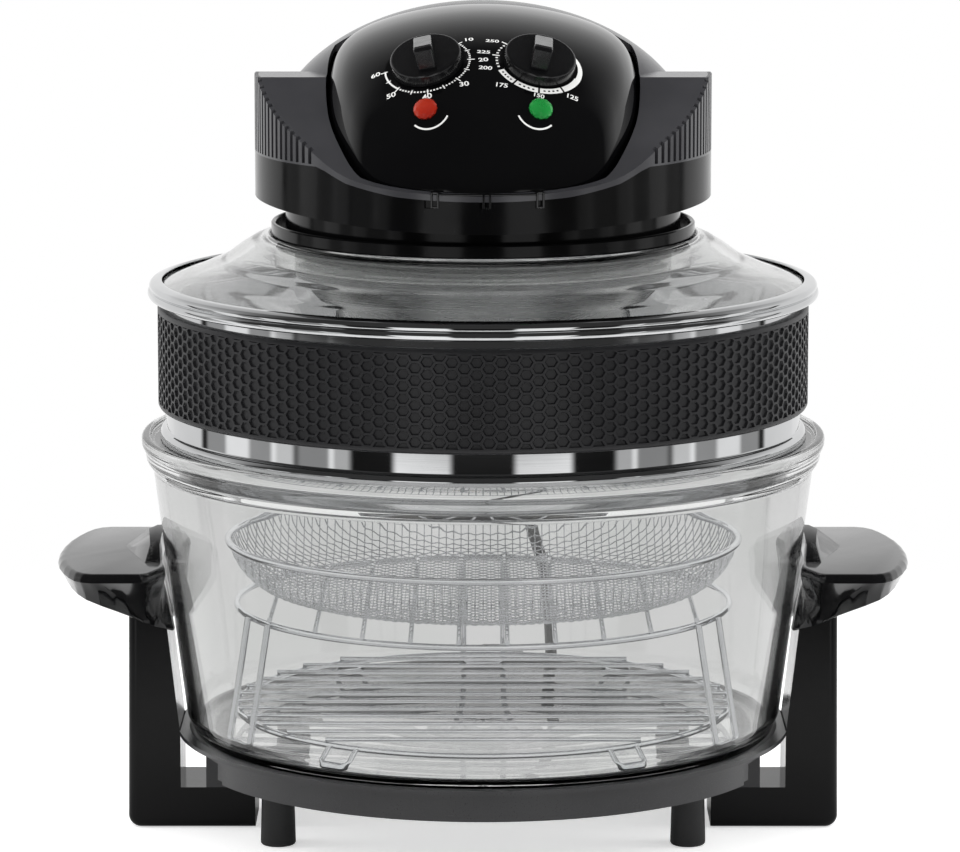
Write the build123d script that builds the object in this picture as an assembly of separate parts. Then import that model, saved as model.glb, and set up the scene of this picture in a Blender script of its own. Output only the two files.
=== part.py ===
from build123d import *
import math
import os

# Halogen oven: a glass bowl in a footed stand with two carry handles, a steel
# extender ring with a silicone band, and a lift-off glass lid that carries the
# heater, the fan and the control head.  Millimetres, +Z up, dials towards -Y.
# Origin: on the table, at the centre of the whole oven without its cord.

# ---- driving dimensions ------------------------------------------------------
FLOOR_Z = 45.0          # underside of the bowl, where it sits in the base ring
BOWL_FOOT_R = 146.0     # outer radius of the bowl just above its bottom corner
BOWL_TOP_R = 161.0      # outer radius just under the rim bead
RIM_R = 167.0           # rim bead
RIM_Z = 195.0           # top of the rim
GLASS_WALL = 5.0
LEDGE_Z = 193.0         # inner ledge that carries the extender ring
RING_R = 154.8          # steel extender ring
RING_TOP_Z = 262.0
SHEET = 1.0             # sheet steel of the ring and the heater shroud
BAND_R = 158.6          # silicone band round the ring
BAND_Z = (209.0, 258.0)
LID_Z = 290.0           # seat of the black neck ring on the lid glass
NECK_R = 96.0           # neck of the head housing
HEAD_R = 110.7          # collar of the head housing
HEAD_WALL = 3.0
WING_Z = 370.0          # flat top of the two side wings
RIB_Z = 333.0           # lower end of the grip ribs, and side joint of the housing
SHROUD_R = 91.0         # steel heater shroud
SHROUD_SCREW_R = 94.2   # screws up through the shroud's flange into the neck
SHROUD_SCREW_AT = (0, 90, 180, 270)
ARM_OUT = 174.5         # outer face of the side arms
ARM_HALF = 22.0         # half width of an arm, front to rear
GRIP_Z = 135.0          # flat top of the carry grips
GRIP_TIP = 208.5        # outermost point of a grip
GRIP_HALF = 66.0        # half length of a grip, front to rear
SHAFT_R = 3.0
RUN_GAP = 0.05          # radial clearance of a running fit
CORD_R = 3.25

BASE = (Align.CENTER, Align.CENTER, Align.MIN)
os.makedirs("parts", exist_ok=True)


# ---- helpers -----------------------------------------------------------------
def save(shape, name):
    """Write one node."""
    export_step(shape, "parts/" + name + ".step")


def face_of(points):
    """Flat face inside a closed run of straight edges."""
    return make_face(Polyline(*points, close=True))


def turned(points):
    """Solid of revolution about Z from (radius, height) points."""
    return revolve(Plane.XZ * face_of(points), Axis.Z)


def rod(radius, low, high, x=0.0, y=0.0):
    """Upright cylinder between two heights."""
    return Pos(x, y, low) * Cylinder(radius, high - low, align=BASE)


def tube_ring(outer, inner, low, high):
    """Plain upright ring."""
    return rod(outer, low, high) - rod(inner, low - 1, high + 1)


def block(x, y, z):
    """Box between pairs of limits."""
    size = [b - a for a, b in (x, y, z)]
    middle = [(a + b) / 2 for a, b in (x, y, z)]
    return Pos(*middle) * Box(*size)


def around(shape, angles):
    """Copies of a shape turned about Z."""
    return [Rot(0, 0, a) * shape for a in angles]


def wire(points, radius, bend):
    """Round wire along straight runs joined by bends."""
    path = FilletPolyline(*points, radius=bend)
    return sweep(Plane(origin=path @ 0, z_dir=path % 0) * Circle(radius), path=path)


def polar(radius, degrees, z=0.0):
    """Point at a radius and an angle from +X."""
    a = math.radians(degrees)
    return (radius * math.cos(a), radius * math.sin(a), z)


def ellipsoid(a, b, c):
    """Ellipsoid whose seam lies in the plane X = 0."""
    return scale(Rot(0, 0, 90) * Sphere(1), by=(a, b, c))


def mirrored(shape):
    """The other side of a part that comes in a left and a right hand."""
    return mirror(shape, about=Plane.YZ)


# ---- stand: ring, pegs, arms and grips ----------------------------------------
SKIRT_R = 143.0
SKIRT_Z = 32.5
LIP_Z = 49.0
LIP_R = 150.5
SKIRT_ANGLE = 61.5      # half angle of each skirt arc, from the front or rear
PEG_AT = (99.4, 54.0)
BAR_Z = 20.4            # top of the horizontal foot of an arm
BAR_IN = 112.0
SCREW_X = 130.5         # screws up through an arm's foot into the web
SCREW_Y = (-12.0, 12.0)


def base_ring():
    """Ledge, bowl seat and lip all round, skirts front and rear, four lugs for
    the pegs and a web down to each arm."""
    seat = turned([(126, 42), (126, FLOOR_Z), (139.2, FLOOR_Z), (142.2, 47), (145, LIP_Z),
                   (LIP_R, LIP_Z), (LIP_R, LIP_Z - 2), (SKIRT_R, LIP_Z - 2), (SKIRT_R, 42)])
    skirt = tube_ring(SKIRT_R, SKIRT_R - 3, SKIRT_Z, 43)
    reach = 200.0
    half = math.radians(SKIRT_ANGLE)
    corner = (reach * math.tan(half), reach)
    wedge = face_of([(0, 0), corner, (-corner[0], reach)])
    sector = Pos(0, 0, 20) * extrude(wedge, 40)
    skirts = (skirt & sector) + (skirt & (Rot(0, 0, 180) * sector))
    ring = seat + skirts
    turn = math.degrees(math.atan2(PEG_AT[1], PEG_AT[0]))
    lug = block((101, 141), (-9, 9), (33, 42.5))
    for angle in (turn, 180 - turn, 180 + turn, -turn):
        ring = ring + Rot(0, 0, angle) * lug
    web = block((125, 136), (-ARM_HALF, ARM_HALF), (BAR_Z, 43))
    ring = ring + web + mirrored(web)
    notch = block((148.3, 160), (-ARM_HALF - 0.5, ARM_HALF + 0.5), (46, 50))
    ring = ring - notch - mirrored(notch)
    for side in (-1, 1):
        for y in SCREW_Y:
            ring = ring - rod(1.6, BAR_Z - 1, BAR_Z + 14, side * SCREW_X, y)
    return ring


def support_pegs():
    """Four tapered pegs, a little wider at the floor."""
    peg = Pos(0, 0, 0) * Cone(8.6, 7.7, 33, align=BASE)
    peg = fillet(peg.edges().group_by(Axis.Z)[0], 1.5)
    return [Pos(sx * PEG_AT[0], sy * PEG_AT[1], 0) * peg for sx in (-1, 1) for sy in (-1, 1)]


def side_arm():
    """Right-hand arm: an L of moulded plastic, hollow from below."""
    outline = [(BAR_IN, 0), (ARM_OUT, 0), (ARM_OUT - 1.4, 130), (161.5, 130), (154.5, 100),
               (148.5, 47), (148.5, BAR_Z), (BAR_IN, BAR_Z)]
    arm = extrude(Plane.XZ * face_of(outline), ARM_HALF, both=True)
    outer_edges = arm.edges().filter_by(Axis.Y).filter_by(lambda e: e.center().X > 174 and e.center().Z < 1)
    arm = fillet(outer_edges, 6)
    upright = arm.edges().filter_by(lambda e: e.center().X > 173 and abs(e.center().Y) > 21 and e.length > 90)
    arm = fillet(upright, 4)
    wall = 2.8
    hollow = [(BAR_IN + wall, -1), (ARM_OUT - 7, -1), (ARM_OUT - 4.2, 60), (ARM_OUT - 4.2, 127),
              (163.8, 127), (157.3, 99.6), (151.3, 46.6), (151.3, BAR_Z - wall), (BAR_IN + wall, BAR_Z - wall)]
    arm = arm - extrude(Plane.XZ * face_of(hollow), ARM_HALF - wall, both=True)
    for y in SCREW_Y:
        boss = rod(4.2, 3.5, BAR_Z - 1, SCREW_X, y)
        arm = arm + boss - rod(1.8, 0, BAR_Z + 1, SCREW_X, y) - rod(3.4, 0, 6, SCREW_X, y)
    for y in GRIP_SCREW_Y:
        arm = arm - rod(1.8, 125, 131, GRIP_SCREW_X, y)
    return arm


def screw(shank_r, head_r, head_h, length, size_of_slot=1.2):
    """Pan-head screw standing on its head, shank up, with a cross recess."""
    head = rod(head_r, 0, head_h)
    shank = rod(shank_r, head_h, head_h + length)
    slot = block((-head_r * 0.6, head_r * 0.6), (-0.5, 0.5), (-1, size_of_slot))
    return head + shank - slot - Rot(0, 0, 90) * slot


def arm_screws():
    """Screws that hold the arms to the base ring."""
    one = screw(1.55, 3.2, 2.2, 22)
    return [Pos(side * SCREW_X, y, 3.8) * one for side in (-1, 1) for y in SCREW_Y]


GRIP_SCREW_X = 167.05
GRIP_SCREW_Y = (-11.0, 11.0)


def grip_screws():
    """Screws up through an arm's top wall into the grip."""
    one = Pos(0, 0, 124.8) * screw(1.45, 3.0, 2.2, 9)
    return [Pos(side * GRIP_SCREW_X, y, 0) * one for side in (-1, 1) for y in GRIP_SCREW_Y]


def grip_plan(grow):
    """Half-lens plan of a grip: straight inner edge, straight ends, bowed front."""
    tip, end, inner = GRIP_TIP + grow, GRIP_HALF + grow, 159.0 - grow
    corner = 184.0
    bow = ThreePointArc((corner, -end), (tip, 0), (corner, end))
    rest = Polyline((corner, end), (inner, end), (inner, -end), (corner, -end))
    return make_face([bow, rest])


def grip():
    """Right-hand carry grip: a bowed slab, a flared sleeve down over the arm
    and a wedge lug beside the bowl."""
    slab = Pos(0, 0, 117) * extrude(grip_plan(0), GRIP_Z - 117)
    slab = fillet(slab.edges().group_by(Axis.Z)[-1].filter_by(lambda e: e.center().X > 160), 5)
    flare = loft([Plane.XY.offset(98) * (Pos(166, 0) * Rectangle(24.5, 2 * ARM_HALF + 8)),
                  Plane.XY.offset(117.2) * (Pos(178, 0) * Rectangle(38, 2 * GRIP_HALF - 6))])
    lug = extrude(Plane.XZ * face_of([(159, 130), (180, 130), (180, GRIP_Z), (161.5, 143.5), (159, 143)]), 30,
                  both=True)
    lug = lug & rod(22, 120, 150, 159, 0)
    body = slab + flare + lug
    keep_out = tube_ring(260, 156.4 + 2.4, 80, 160)
    body = body & keep_out
    for y in GRIP_SCREW_Y:
        body = body - rod(1.5, 125, 137, GRIP_SCREW_X, y)
    return body - arm_space()


def arm_space():
    """The room that the arm's upper end takes in the grip."""
    outline = [(150, 60), (ARM_OUT + 0.05, 60), (ARM_OUT - 1.35, 130.05), (161.4, 130.05), (154.4, 100), (150, 62)]
    return extrude(Plane.XZ * face_of(outline), ARM_HALF + 0.05, both=True)


# ---- bowl, extender ring and band ----------------------------------------------
def glass_bowl():
    """Pressed glass bowl: thick floor, flared wall, stepped rim bead and the
    inner ledge that the extender ring stands on."""
    w = GLASS_WALL
    floor_in = FLOOR_Z + 5.5
    outer = Polyline((0, FLOOR_Z), (BOWL_FOOT_R - 11.4, FLOOR_Z))
    corner = ThreePointArc((BOWL_FOOT_R - 11.4, FLOOR_Z), (BOWL_FOOT_R - 3.35, FLOOR_Z + 3.37),
                           (BOWL_FOOT_R, FLOOR_Z + 11.45))
    wall = Polyline((BOWL_FOOT_R, FLOOR_Z + 11.45), (BOWL_TOP_R, 175), (BOWL_TOP_R + 0.4, 178.5),
                    (RIM_R - 2.4, 182.5), (RIM_R - 1.6, 188), (RIM_R - 0.9, 188.6), (RIM_R, 190.5),
                    (RIM_R, 193.7), (RIM_R - 1.2, RIM_Z), (RIM_R - 4.3, RIM_Z), (RIM_R - 4.8, LEDGE_Z),
                    (152.6, LEDGE_Z), (152.6, 188), (BOWL_TOP_R - w, 178), (BOWL_FOOT_R - w - 0.2, floor_in + 7))
    corner_in = ThreePointArc((BOWL_FOOT_R - w - 0.2, floor_in + 7), (BOWL_FOOT_R - w - 2.3, floor_in + 2),
                              (BOWL_FOOT_R - w - 7.2, floor_in))
    inner = Polyline((BOWL_FOOT_R - w - 7.2, floor_in), (0, floor_in), (0, FLOOR_Z))
    return revolve(Plane.XZ * make_face([outer, corner, wall, corner_in, inner]), Axis.Z)


def steel_ring():
    """Extender ring: a rolled steel hoop, flared at its foot, hemmed in at its top."""
    return turned([(RING_R + 3, LEDGE_Z), (RING_R + 3, LEDGE_Z + 1.4), (RING_R, LEDGE_Z + 6), (RING_R, RING_TOP_Z),
                   (RING_R - 6, RING_TOP_Z), (RING_R - 6, RING_TOP_Z - SHEET), (RING_R - SHEET, RING_TOP_Z - SHEET),
                   (RING_R - SHEET, LEDGE_Z + 5.8), (RING_R + 1.8, LEDGE_Z + 1.2), (RING_R + 1.8, LEDGE_Z)])


def silicone_band():
    """Heat-proof sleeve stretched over the ring, with a rounded lower edge."""
    low, high = BAND_Z
    inner = RING_R + 0.02
    return turned([(inner, low), (BAND_R - 1.4, low), (BAND_R - 0.4, low + 0.6), (BAND_R, low + 1.8),
                   (BAND_R, high - 1), (BAND_R - 0.6, high), (inner, high)])


# ---- lid: glass, rim, neck ring -------------------------------------------------
def lid_glass():
    """Shallow pressed dome with a recessed seat and a short neck at its hole."""
    top = Spline((159.8, 266.2), (157, 268.5), (127, 280), (119, 286), (105.2, 292.6))
    seat = Polyline((105.2, 292.6), (103.8, 292.6), (103.4, LID_Z), (98, LID_Z), (98, 278), (101, 278),
                    (101, 288.6))
    under = Spline((101, 288.6), (116.6, 281.8), (125.2, 275.6), (155.6, 264.2))
    edge = Polyline((155.6, 264.2), (159.8, 264.2), (159.8, 266.2))
    return revolve(Plane.XZ * make_face([top, seat, under, edge]), Axis.Z)


def lid_rim_band():
    """Polished steel channel rolled round the edge of the lid glass."""
    z = RING_TOP_Z
    return turned([(152.5, z), (161.7, z), (163.0, z + 2.2), (163.4, z + 4.4), (162.3, z + 7.0), (158.2, z + 8.4),
                   (156.4, z + 8.9), (156.1, z + 8.0), (159.9, z + 6.4), (161.2, z + 4.4), (160.4, z + 1.6),
                   (152.5, z + 1.2)])


def neck_ring():
    """Black ring on the lid glass: a channel that the head's neck stands in."""
    z = LID_Z
    ring = turned([(SHROUD_R + 0.4, z), (101.4, z), (102.6, z + 1.2), (103, z + 3), (103, z + 8),
                   (102.4, z + 8.6), (101.4, z + 8.6), (100.8, z + 8), (100.8, z + 2.5),
                   (SHROUD_R + 0.4, z + 2.5)])
    for x, y, _ in [polar(SHROUD_SCREW_R, a) for a in SHROUD_SCREW_AT]:
        ring = ring - rod(1.6, z - 1, z + 4, x, y)
    return ring


# ---- head: collar, cover, control panel -----------------------------------------
# The side view of the wings: (Y, Z) from the front lip up to the flat top, and
# the gentler fall behind it.
SLOPE = [(-116, 321.9), (-103, 324.5), (-90, 329.4), (-74, 341), (-54, 352), (-38, 360.6), (-22, WING_Z)]
BACK = [(8, WING_Z), (40, 364), (80, 350), (116, 335)]
DOME_AT = (0, 34, 330)
DOME = (105.0, 95.0, 72.4)      # its half-axes
POD_AT = (0, 15, 318)
POD = (118, 122, 84)            # half axes of the glossy panel's surface
POD_PLAN = (75.5, 97, 81, -14)  # half width, front and rear half lengths, middle Y
POD_SHAPE = 2.7                 # exponent of the panel's rounded-square plan


def under_wings(drop, base_z):
    """Everything below the wings' surface, lowered by drop, above base_z."""
    front = Spline(*[(y, z - drop) for y, z in SLOPE])
    rear = Spline(*[(y, z - drop) for y, z in BACK])
    top = Line((SLOPE[-1][0], WING_Z - drop), (BACK[0][0], WING_Z - drop))
    rest = Polyline((BACK[-1][0], BACK[-1][1] - drop), (BACK[-1][0], base_z), (SLOPE[0][0], base_z),
                    (SLOPE[0][0], SLOPE[0][1] - drop))
    return extrude(Plane.YZ * make_face([front, top, rear, rest]), 120, both=True)


def head_form(shrink):
    """The head's whole outer form, or its inside when shrunk by the wall."""
    dome = ellipsoid(*[v - shrink for v in DOME]) & block((-150, 150), (-150, 150), (-40, 150))
    roof = Pos(*DOME_AT) * dome + under_wings(shrink, 290)
    return roof & rod(HEAD_R - shrink, 290, 420)


def above_joint():
    """The side of the housing joint that belongs to the top cover."""
    path = [(-116, 318.9), (-103, 321.5), (-90, 326.4), (-82, RIB_Z - 1.6), (-78, RIB_Z), (116, RIB_Z),
            (116, 430), (-116, 430)]
    return extrude(Plane.YZ * face_of(path), 120, both=True)


def arched(low):
    """Space above the collar's underside, which droops at front and rear."""
    sag = 6.9
    radius = (HEAD_R ** 2 + sag ** 2) / (2 * sag)
    drum = Pos(0, 0, low - radius) * Rot(0, 90, 0) * Cylinder(radius, 300)
    return rod(HEAD_R + 5, 290, 430) - drum


def pod_plan(inset):
    """Rounded-square plan of the panel, from the superellipse formula."""
    half_x, front, rear, middle = POD_PLAN
    points = []
    count = 28
    for i in range(count):
        t = 2 * math.pi * i / count
        c, s = math.cos(t), math.sin(t)
        reach = (front if s < 0 else rear) - inset
        x = (half_x - inset) * math.copysign(abs(c) ** (2 / POD_SHAPE), c)
        y = reach * math.copysign(abs(s) ** (2 / POD_SHAPE), s)
        points.append((x, middle + y))
    return make_face(Spline(*points, periodic=True))


def pod_form(inset, shrink):
    """Panel body: the ellipsoid surface above the rounded-square plan."""
    prism = Pos(0, 0, 300) * extrude(pod_plan(inset), 120)
    shell = Pos(*POD_AT) * ellipsoid(*[v - shrink for v in POD])
    return prism & shell


PANEL_REAR = 22.0       # straight rear edge of the panel


def panel_blank():
    """The panel's body down to below the joint, with a sharp upper edge."""
    return pod_form(0, 0) & block((-120, 120), (-130, PANEL_REAR), (295, 430))


COVER_SCREW_R = 101.5   # screws up through the collar's floor into the cover
COVER_SCREW_AT = (35, 145, 215, 325)
PLATE_SCREW_R = 89.0    # screws down through the motor plate into the neck
PLATE_SCREW_AT = (45, 135, 225, 315)
PLATE_Z = 316.0
GLAND_Z = 320.0


def head_base():
    """Glossy collar: wall, floor with cooling slots, and the neck below it."""
    outer = head_form(0) & arched(311.6)
    cavity = rod(HEAD_R - HEAD_WALL, 290, 430) & arched(311.6 + HEAD_WALL)
    body = outer - cavity - above_joint() - rod(NECK_R - 3, 290, 430)
    body = body + tube_ring(NECK_R, NECK_R - 3, LID_Z + 2.5, PLATE_Z)
    body = body + tube_ring(NECK_R - 2.5, NECK_R - 5, 299.6, 301.6)
    within = rod(NECK_R, 290, 320)
    for x, y, _ in [polar(SHROUD_SCREW_R, a) for a in SHROUD_SCREW_AT]:
        body = body + (rod(3.6, LID_Z + 2.5, 299.6, x, y) & within) - rod(1.5, 290, 299, x, y)
    for x, y, _ in [polar(PLATE_SCREW_R, a) for a in PLATE_SCREW_AT]:
        body = body + rod(4.2, 304, PLATE_Z, x, y) - rod(1.5, 306, PLATE_Z + 1, x, y)
    below = arched(311.6)
    for x, y, _ in [polar(COVER_SCREW_R, a) for a in COVER_SCREW_AT]:
        body = body + (rod(4.7, 300, RIB_Z, x, y) & below)
        body = body - rod(1.8, 300, RIB_Z + 1, x, y) - rod(3.5, 300, 318, x, y)
    slot = block((98.2, 105.5), (-1.5, 1.5), (300, 316))
    for a in [*range(52, 129, 7), *range(-21, 22, 7), *range(159, 202, 7)]:
        body = body - Rot(0, 0, a) * slot
    vent = block((105, 115), (-1.3, 1.3), (315, 328))
    for a in [*range(58, 79, 4), *range(102, 123, 4)]:
        body = body - Rot(0, 0, a) * vent
    catch = block((-1.5, 1.5), (-113, -109.4), (316.8, 330))
    for a in (-13.5, 0, 13.5):
        body = body - Rot(0, 0, a) * catch
    return body - Pos(0, 106, GLAND_Z) * Rot(90, 0, 0) * Cylinder(5.1, 20)


def top_cover():
    """Matte cover: sloped wings, rounded back, ribbed sides and the opening
    that the control panel closes."""
    joint = above_joint()
    outer = head_form(0)
    cover = (outer & joint) - head_form(HEAD_WALL)
    cover = cover - panel_blank()
    inside = outer & joint
    for x, y, _ in [polar(COVER_SCREW_R, a) for a in COVER_SCREW_AT]:
        boss = (rod(4.2, RIB_Z, 366, x, y) & inside) - rod(1.5, RIB_Z - 1, 349, x, y)
        cover = cover + boss
    groove = block((HEAD_R - 1.9, HEAD_R + 5), (-1.15, 1.15), (RIB_Z + 1, 380))
    for i in range(-17, 18):
        angle = i * RIB_PITCH
        cover = cover - Rot(0, 0, angle) * groove - Rot(0, 0, 180 + angle) * groove
    return cover


RIB_PITCH = 2.5         # degrees between grip ribs on each side


# ---- control panel, knobs and lamps ------------------------------------------------
DIAL_AT = (26.5, -62.0, 380.5)      # on the panel's surface, right-hand side
DIAL_DIR = (0.183, -0.496, 0.849)
LAMP_AT = (27.2, -85.5, 361.6)
LAMP_DIR = (0.208, -0.722, 0.660)
KNOB_R = 17.0


def local_plane(at, direction, side):
    """Plane on the panel's surface, its Z along the surface's outward normal."""
    x, y, z = direction
    return Plane(origin=(side * at[0], at[1], at[2]), x_dir=(z, 0, -side * x), z_dir=(side * x, y, z))


def stub(plane, radius, low, high):
    """Cylinder along a plane's normal between two depths."""
    return plane * Pos(0, 0, low) * Cylinder(radius, high - low, align=BASE)


def on_plan(edge):
    """True for an edge that follows the panel's plan near its top."""
    point = edge @ 0.37
    half_x, front, rear, middle = POD_PLAN
    reach = front if point.Y < middle else rear
    value = abs(point.X / half_x) ** POD_SHAPE + abs((point.Y - middle) / reach) ** POD_SHAPE
    return point.Z > 301 and abs(value - 1) < 0.05


def control_panel():
    """Glossy crowned panel with flat seats for two knobs and two lamps."""
    outer = panel_blank() - under_wings(7, 290)
    panel = outer - pod_form(3, 3)
    for side in (-1, 1):
        dial = local_plane(DIAL_AT, DIAL_DIR, side)
        lamp = local_plane(LAMP_AT, LAMP_DIR, side)
        panel = panel + (stub(dial, 21.5, -7, 5) & outer) + (stub(lamp, 8.5, -6, 5) & outer)
    for side in (-1, 1):
        dial = local_plane(DIAL_AT, DIAL_DIR, side)
        lamp = local_plane(LAMP_AT, LAMP_DIR, side)
        panel = panel - stub(dial, KNOB_R + 1.2, -1.9, 12) - stub(dial, 4, -20, 5)
        panel = panel - stub(lamp, 6.7, -0.6, 8) - stub(lamp, 5.05, -20, 5)
    return panel


def knob():
    """Dial: a low disc and a grip bar, tall toward the user and falling away
    behind, bored for its shaft."""
    disc = Pos(0, 0, -1.5) * Cylinder(KNOB_R, 6.6, align=BASE)
    disc = fillet(disc.edges().group_by(Axis.Z)[-1], 1.4)
    side = face_of([(-13.4, 3), (-12.7, 15.8), (-11.4, 17), (-9.6, 16.8), (12.8, 6.6), (13.4, 3)])
    bar = extrude(Plane.YZ * side, 4.5, both=True)
    bar = fillet(bar.edges().filter_by(lambda e: abs(e.center().X) > 4.4 and e.center().Z > 4), 1.2)
    return disc + bar - Pos(0, 0, -2) * Cylinder(SHAFT_R, 11, align=BASE)


def knob_shaft():
    """Steel shaft from inside the switch up into the knob."""
    return Pos(0, 0, -26) * Cylinder(SHAFT_R, 35, align=BASE)


def timer_unit():
    """Clockwork timer: a boxed movement behind a fixing plate."""
    body = Pos(0, 0, -28.2) * Box(35, 33, 20, align=BASE)
    body = fillet(body.edges().filter_by(Axis.Z), 3)
    plate = Pos(0, 0, -8.2) * Box(42, 24, 1.2, align=BASE)
    return body + plate - Pos(0, 0, -26.4) * Cylinder(SHAFT_R + RUN_GAP, 30, align=BASE)


def thermostat():
    """Turn-to-set thermostat: a round body, its fixing plate and two tabs."""
    body = Pos(0, 0, -28.2) * Cylinder(15.5, 20, align=BASE)
    plate = Pos(0, 0, -8.2) * Box(42, 24, 1.2, align=BASE)
    tabs = Pos(0, 0, -31) * (Pos(-6, 0) * Box(6, 1, 3, align=BASE) + Pos(6, 0) * Box(6, 1, 3, align=BASE))
    return body + plate + tabs - Pos(0, 0, -26.4) * Cylinder(SHAFT_R + RUN_GAP, 30, align=BASE)


def lens():
    """Indicator lens: crowned cap with a flange, and a stem in the panel."""
    cap = Cylinder(6.3, 1.2, align=BASE) + (Pos(0, 0, -4.2) * Sphere(7.6) & Pos(0, 0, 1.1) * Cylinder(6, 5, align=BASE))
    return Pos(0, 0, -0.6) * cap + Pos(0, 0, -9) * Cylinder(5, 9, align=BASE)


def lamp_body():
    """Neon holder behind a lens."""
    return Pos(0, 0, -21) * Cylinder(4.6, 12, align=BASE)


# ---- heater: shroud, reflector, lamp, guard -------------------------------------------
GUARD_Z = 245.7
LAMP_R = 62.0
GUARD_SCREW_AT = (30, 150, 270)


def shroud():
    """Brushed steel shroud: flange, short cylinder and a cone down to a lip."""
    r, t = SHROUD_R, SHEET
    body = turned([(97.3, 289), (r, 289), (r, 272), (66.2, 247), (59, 247), (59, 248), (65.8, 248), (r - t, 272.4),
                   (r - t, 290), (97.3, 290)])
    for x, y, _ in [polar(SHROUD_SCREW_R, a) for a in SHROUD_SCREW_AT]:
        body = body - rod(1.6, 288, 291, x, y)
    for x, y, _ in [polar(62.4, a) for a in GUARD_SCREW_AT]:
        body = body - rod(1.3, 246, 249, x, y)
    return body


def reflector_plate():
    """Aluminium pan that closes the shroud above the lamp and the fan."""
    r = SHROUD_R - SHEET - 0.1
    pan = turned([(0, 284), (r, 284), (r, 288.9), (r - 1, 288.9), (r - 1, 285), (0, 285)]) - rod(6, 283, 286)
    for a in (60, 120):
        x, y, _ = polar(LAMP_R, a)
        pan = pan - rod(2.4, 283, 286, x, y)
    return pan


def heat_shield():
    """Plain disc between the oven's roof and the motor."""
    return rod(NECK_R - 3.4, 301.6, 302.6) - rod(6, 301, 303)


def halogen_lamp():
    """Ring-shaped quartz lamp with two upturned ends."""
    ring = Rot(0, 0, 120) * revolve(Plane.XZ * (Pos(LAMP_R, 257) * Circle(5)), Axis.Z, 300)
    for a in (60, 120):
        x, y, _ = polar(LAMP_R, a)
        ring = ring + rod(5, 257, 277, x, y) + Pos(x, y, 257) * Sphere(5)
    return ring


def lamp_holders():
    """Ceramic end blocks of the lamp, under the reflector."""
    one = block((-7.5, 7.5), (-9, 9), (277, 284))
    return [Rot(0, 0, a) * Pos(LAMP_R, 0, 0) * one for a in (60, 120)]


def wire_guard():
    """Spot-welded guard below the lamp: three hoops, spokes and fixing tabs."""
    guard = [hoop(66.5, 1.2, GUARD_Z), hoop(38, 0.9, GUARD_Z - 0.3), hoop(14, 0.9, GUARD_Z - 0.3)]
    spoke = Pos(40, 0, GUARD_Z - 2.1) * Rot(0, 90, 0) * Cylinder(0.9, 53)
    guard += [Rot(0, 0, 30 * i + 15) * spoke for i in range(12)]
    tab = block((59.4, 65.3), (-4, 4), (GUARD_Z + 0.1, 247)) - rod(1.3, GUARD_Z - 1, 248, 62.4, 0)
    return Compound(guard + [Rot(0, 0, a) * tab for a in GUARD_SCREW_AT])


def guard_screws():
    one = Pos(0, 0, GUARD_Z - 1.5) * screw(1.15, 2.0, 1.5, 4.5, 0.8)
    return [Pos(*polar(62.4, a)) * one for a in GUARD_SCREW_AT]


def shroud_screws():
    """Four screws up through the shroud's flange and the neck ring."""
    one = Pos(0, 0, 287.2) * screw(1.45, 2.6, 1.8, 9)
    return [Pos(*polar(SHROUD_SCREW_R, a)) * one for a in SHROUD_SCREW_AT]


def cover_screws():
    """Four long screws that hold the collar and the cover together."""
    one = Pos(0, 0, 315.8) * screw(1.45, 3.3, 2.2, 28)
    return [Pos(*polar(COVER_SCREW_R, a)) * one for a in COVER_SCREW_AT]


# ---- motor and fans ----------------------------------------------------------------------
POST_X = 25.0


def motor_plate():
    """Steel plate on the neck that carries the motor."""
    plate = rod(NECK_R, PLATE_Z, PLATE_Z + 1.2) - rod(7, PLATE_Z - 1, PLATE_Z + 2)
    for x, y, _ in [polar(PLATE_SCREW_R, a) for a in PLATE_SCREW_AT]:
        plate = plate - rod(1.6, PLATE_Z - 1, PLATE_Z + 2, x, y)
    for a in range(30, 360, 60):
        plate = plate - Rot(0, 0, a) * block((48, 74), (-3, 3), (PLATE_Z - 1, PLATE_Z + 2))
    return plate


def plate_screws():
    one = Pos(0, 0, PLATE_Z + 3.2) * Rot(180, 0, 0) * screw(1.45, 3.0, 2.0, 9)
    return [Pos(*polar(PLATE_SCREW_R, a)) * one for a in PLATE_SCREW_AT]


def motor_posts():
    """Stepped posts that space the bearing bridges and the stator."""
    z = PLATE_Z + 1.2
    steps = [(0, z), (4, z), (4, 325), (2.5, 325), (2.5, 327), (4, 327), (4, 330), (2.5, 330), (2.5, 350), (4, 350),
             (4, 356), (2.5, 356), (2.5, 358), (4, 358), (4, 360.5), (0, 360.5)]
    return [Pos(side * POST_X, 0, 0) * turned(steps) for side in (-1, 1)]


def bearing_bridges():
    """Two pressed strips that hold the motor's bushes."""
    strip = fillet(Box(62, 15, 2, align=BASE).edges().filter_by(Axis.Z), 6)
    strip = strip - rod(6, -1, 3) - rod(2.5, -1, 3, POST_X, 0) - rod(2.5, -1, 3, -POST_X, 0)
    return [Pos(0, 0, z) * strip for z in (325, 356)]


def motor_bushes():
    """Sintered bushes, one in each bridge."""
    bush = tube_ring(6, SHAFT_R + RUN_GAP, 0, 2) + tube_ring(7.4, SHAFT_R + RUN_GAP, -2.6, 0)
    return [Pos(0, 0, 325) * bush, Pos(0, 0, 358) * Rot(180, 0, 0) * bush]


def motor_stator():
    """Laminated C-frame stator with the rotor's bore and the coil's window."""
    core = block((-30, 30), (-19, 31), (330, 350)) - rod(13.5, 329, 351)
    core = core - block((-14.5, 14.5), (15.5, 21.5), (329, 351))
    for side in (-1, 1):
        core = core - rod(2.5, 329, 351, side * POST_X, 0)
    return core


def motor_coil():
    """Bobbin wound round the stator's rear limb."""
    return block((-14, 14), (16, 36.5), (324.5, 355.5)) - block((-15, 15), (21.5, 31), (330, 350))


def motor_rotor():
    return rod(13, 331, 349) - rod(SHAFT_R, 330, 350)


def motor_shaft():
    return rod(SHAFT_R, 262, 374)


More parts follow.
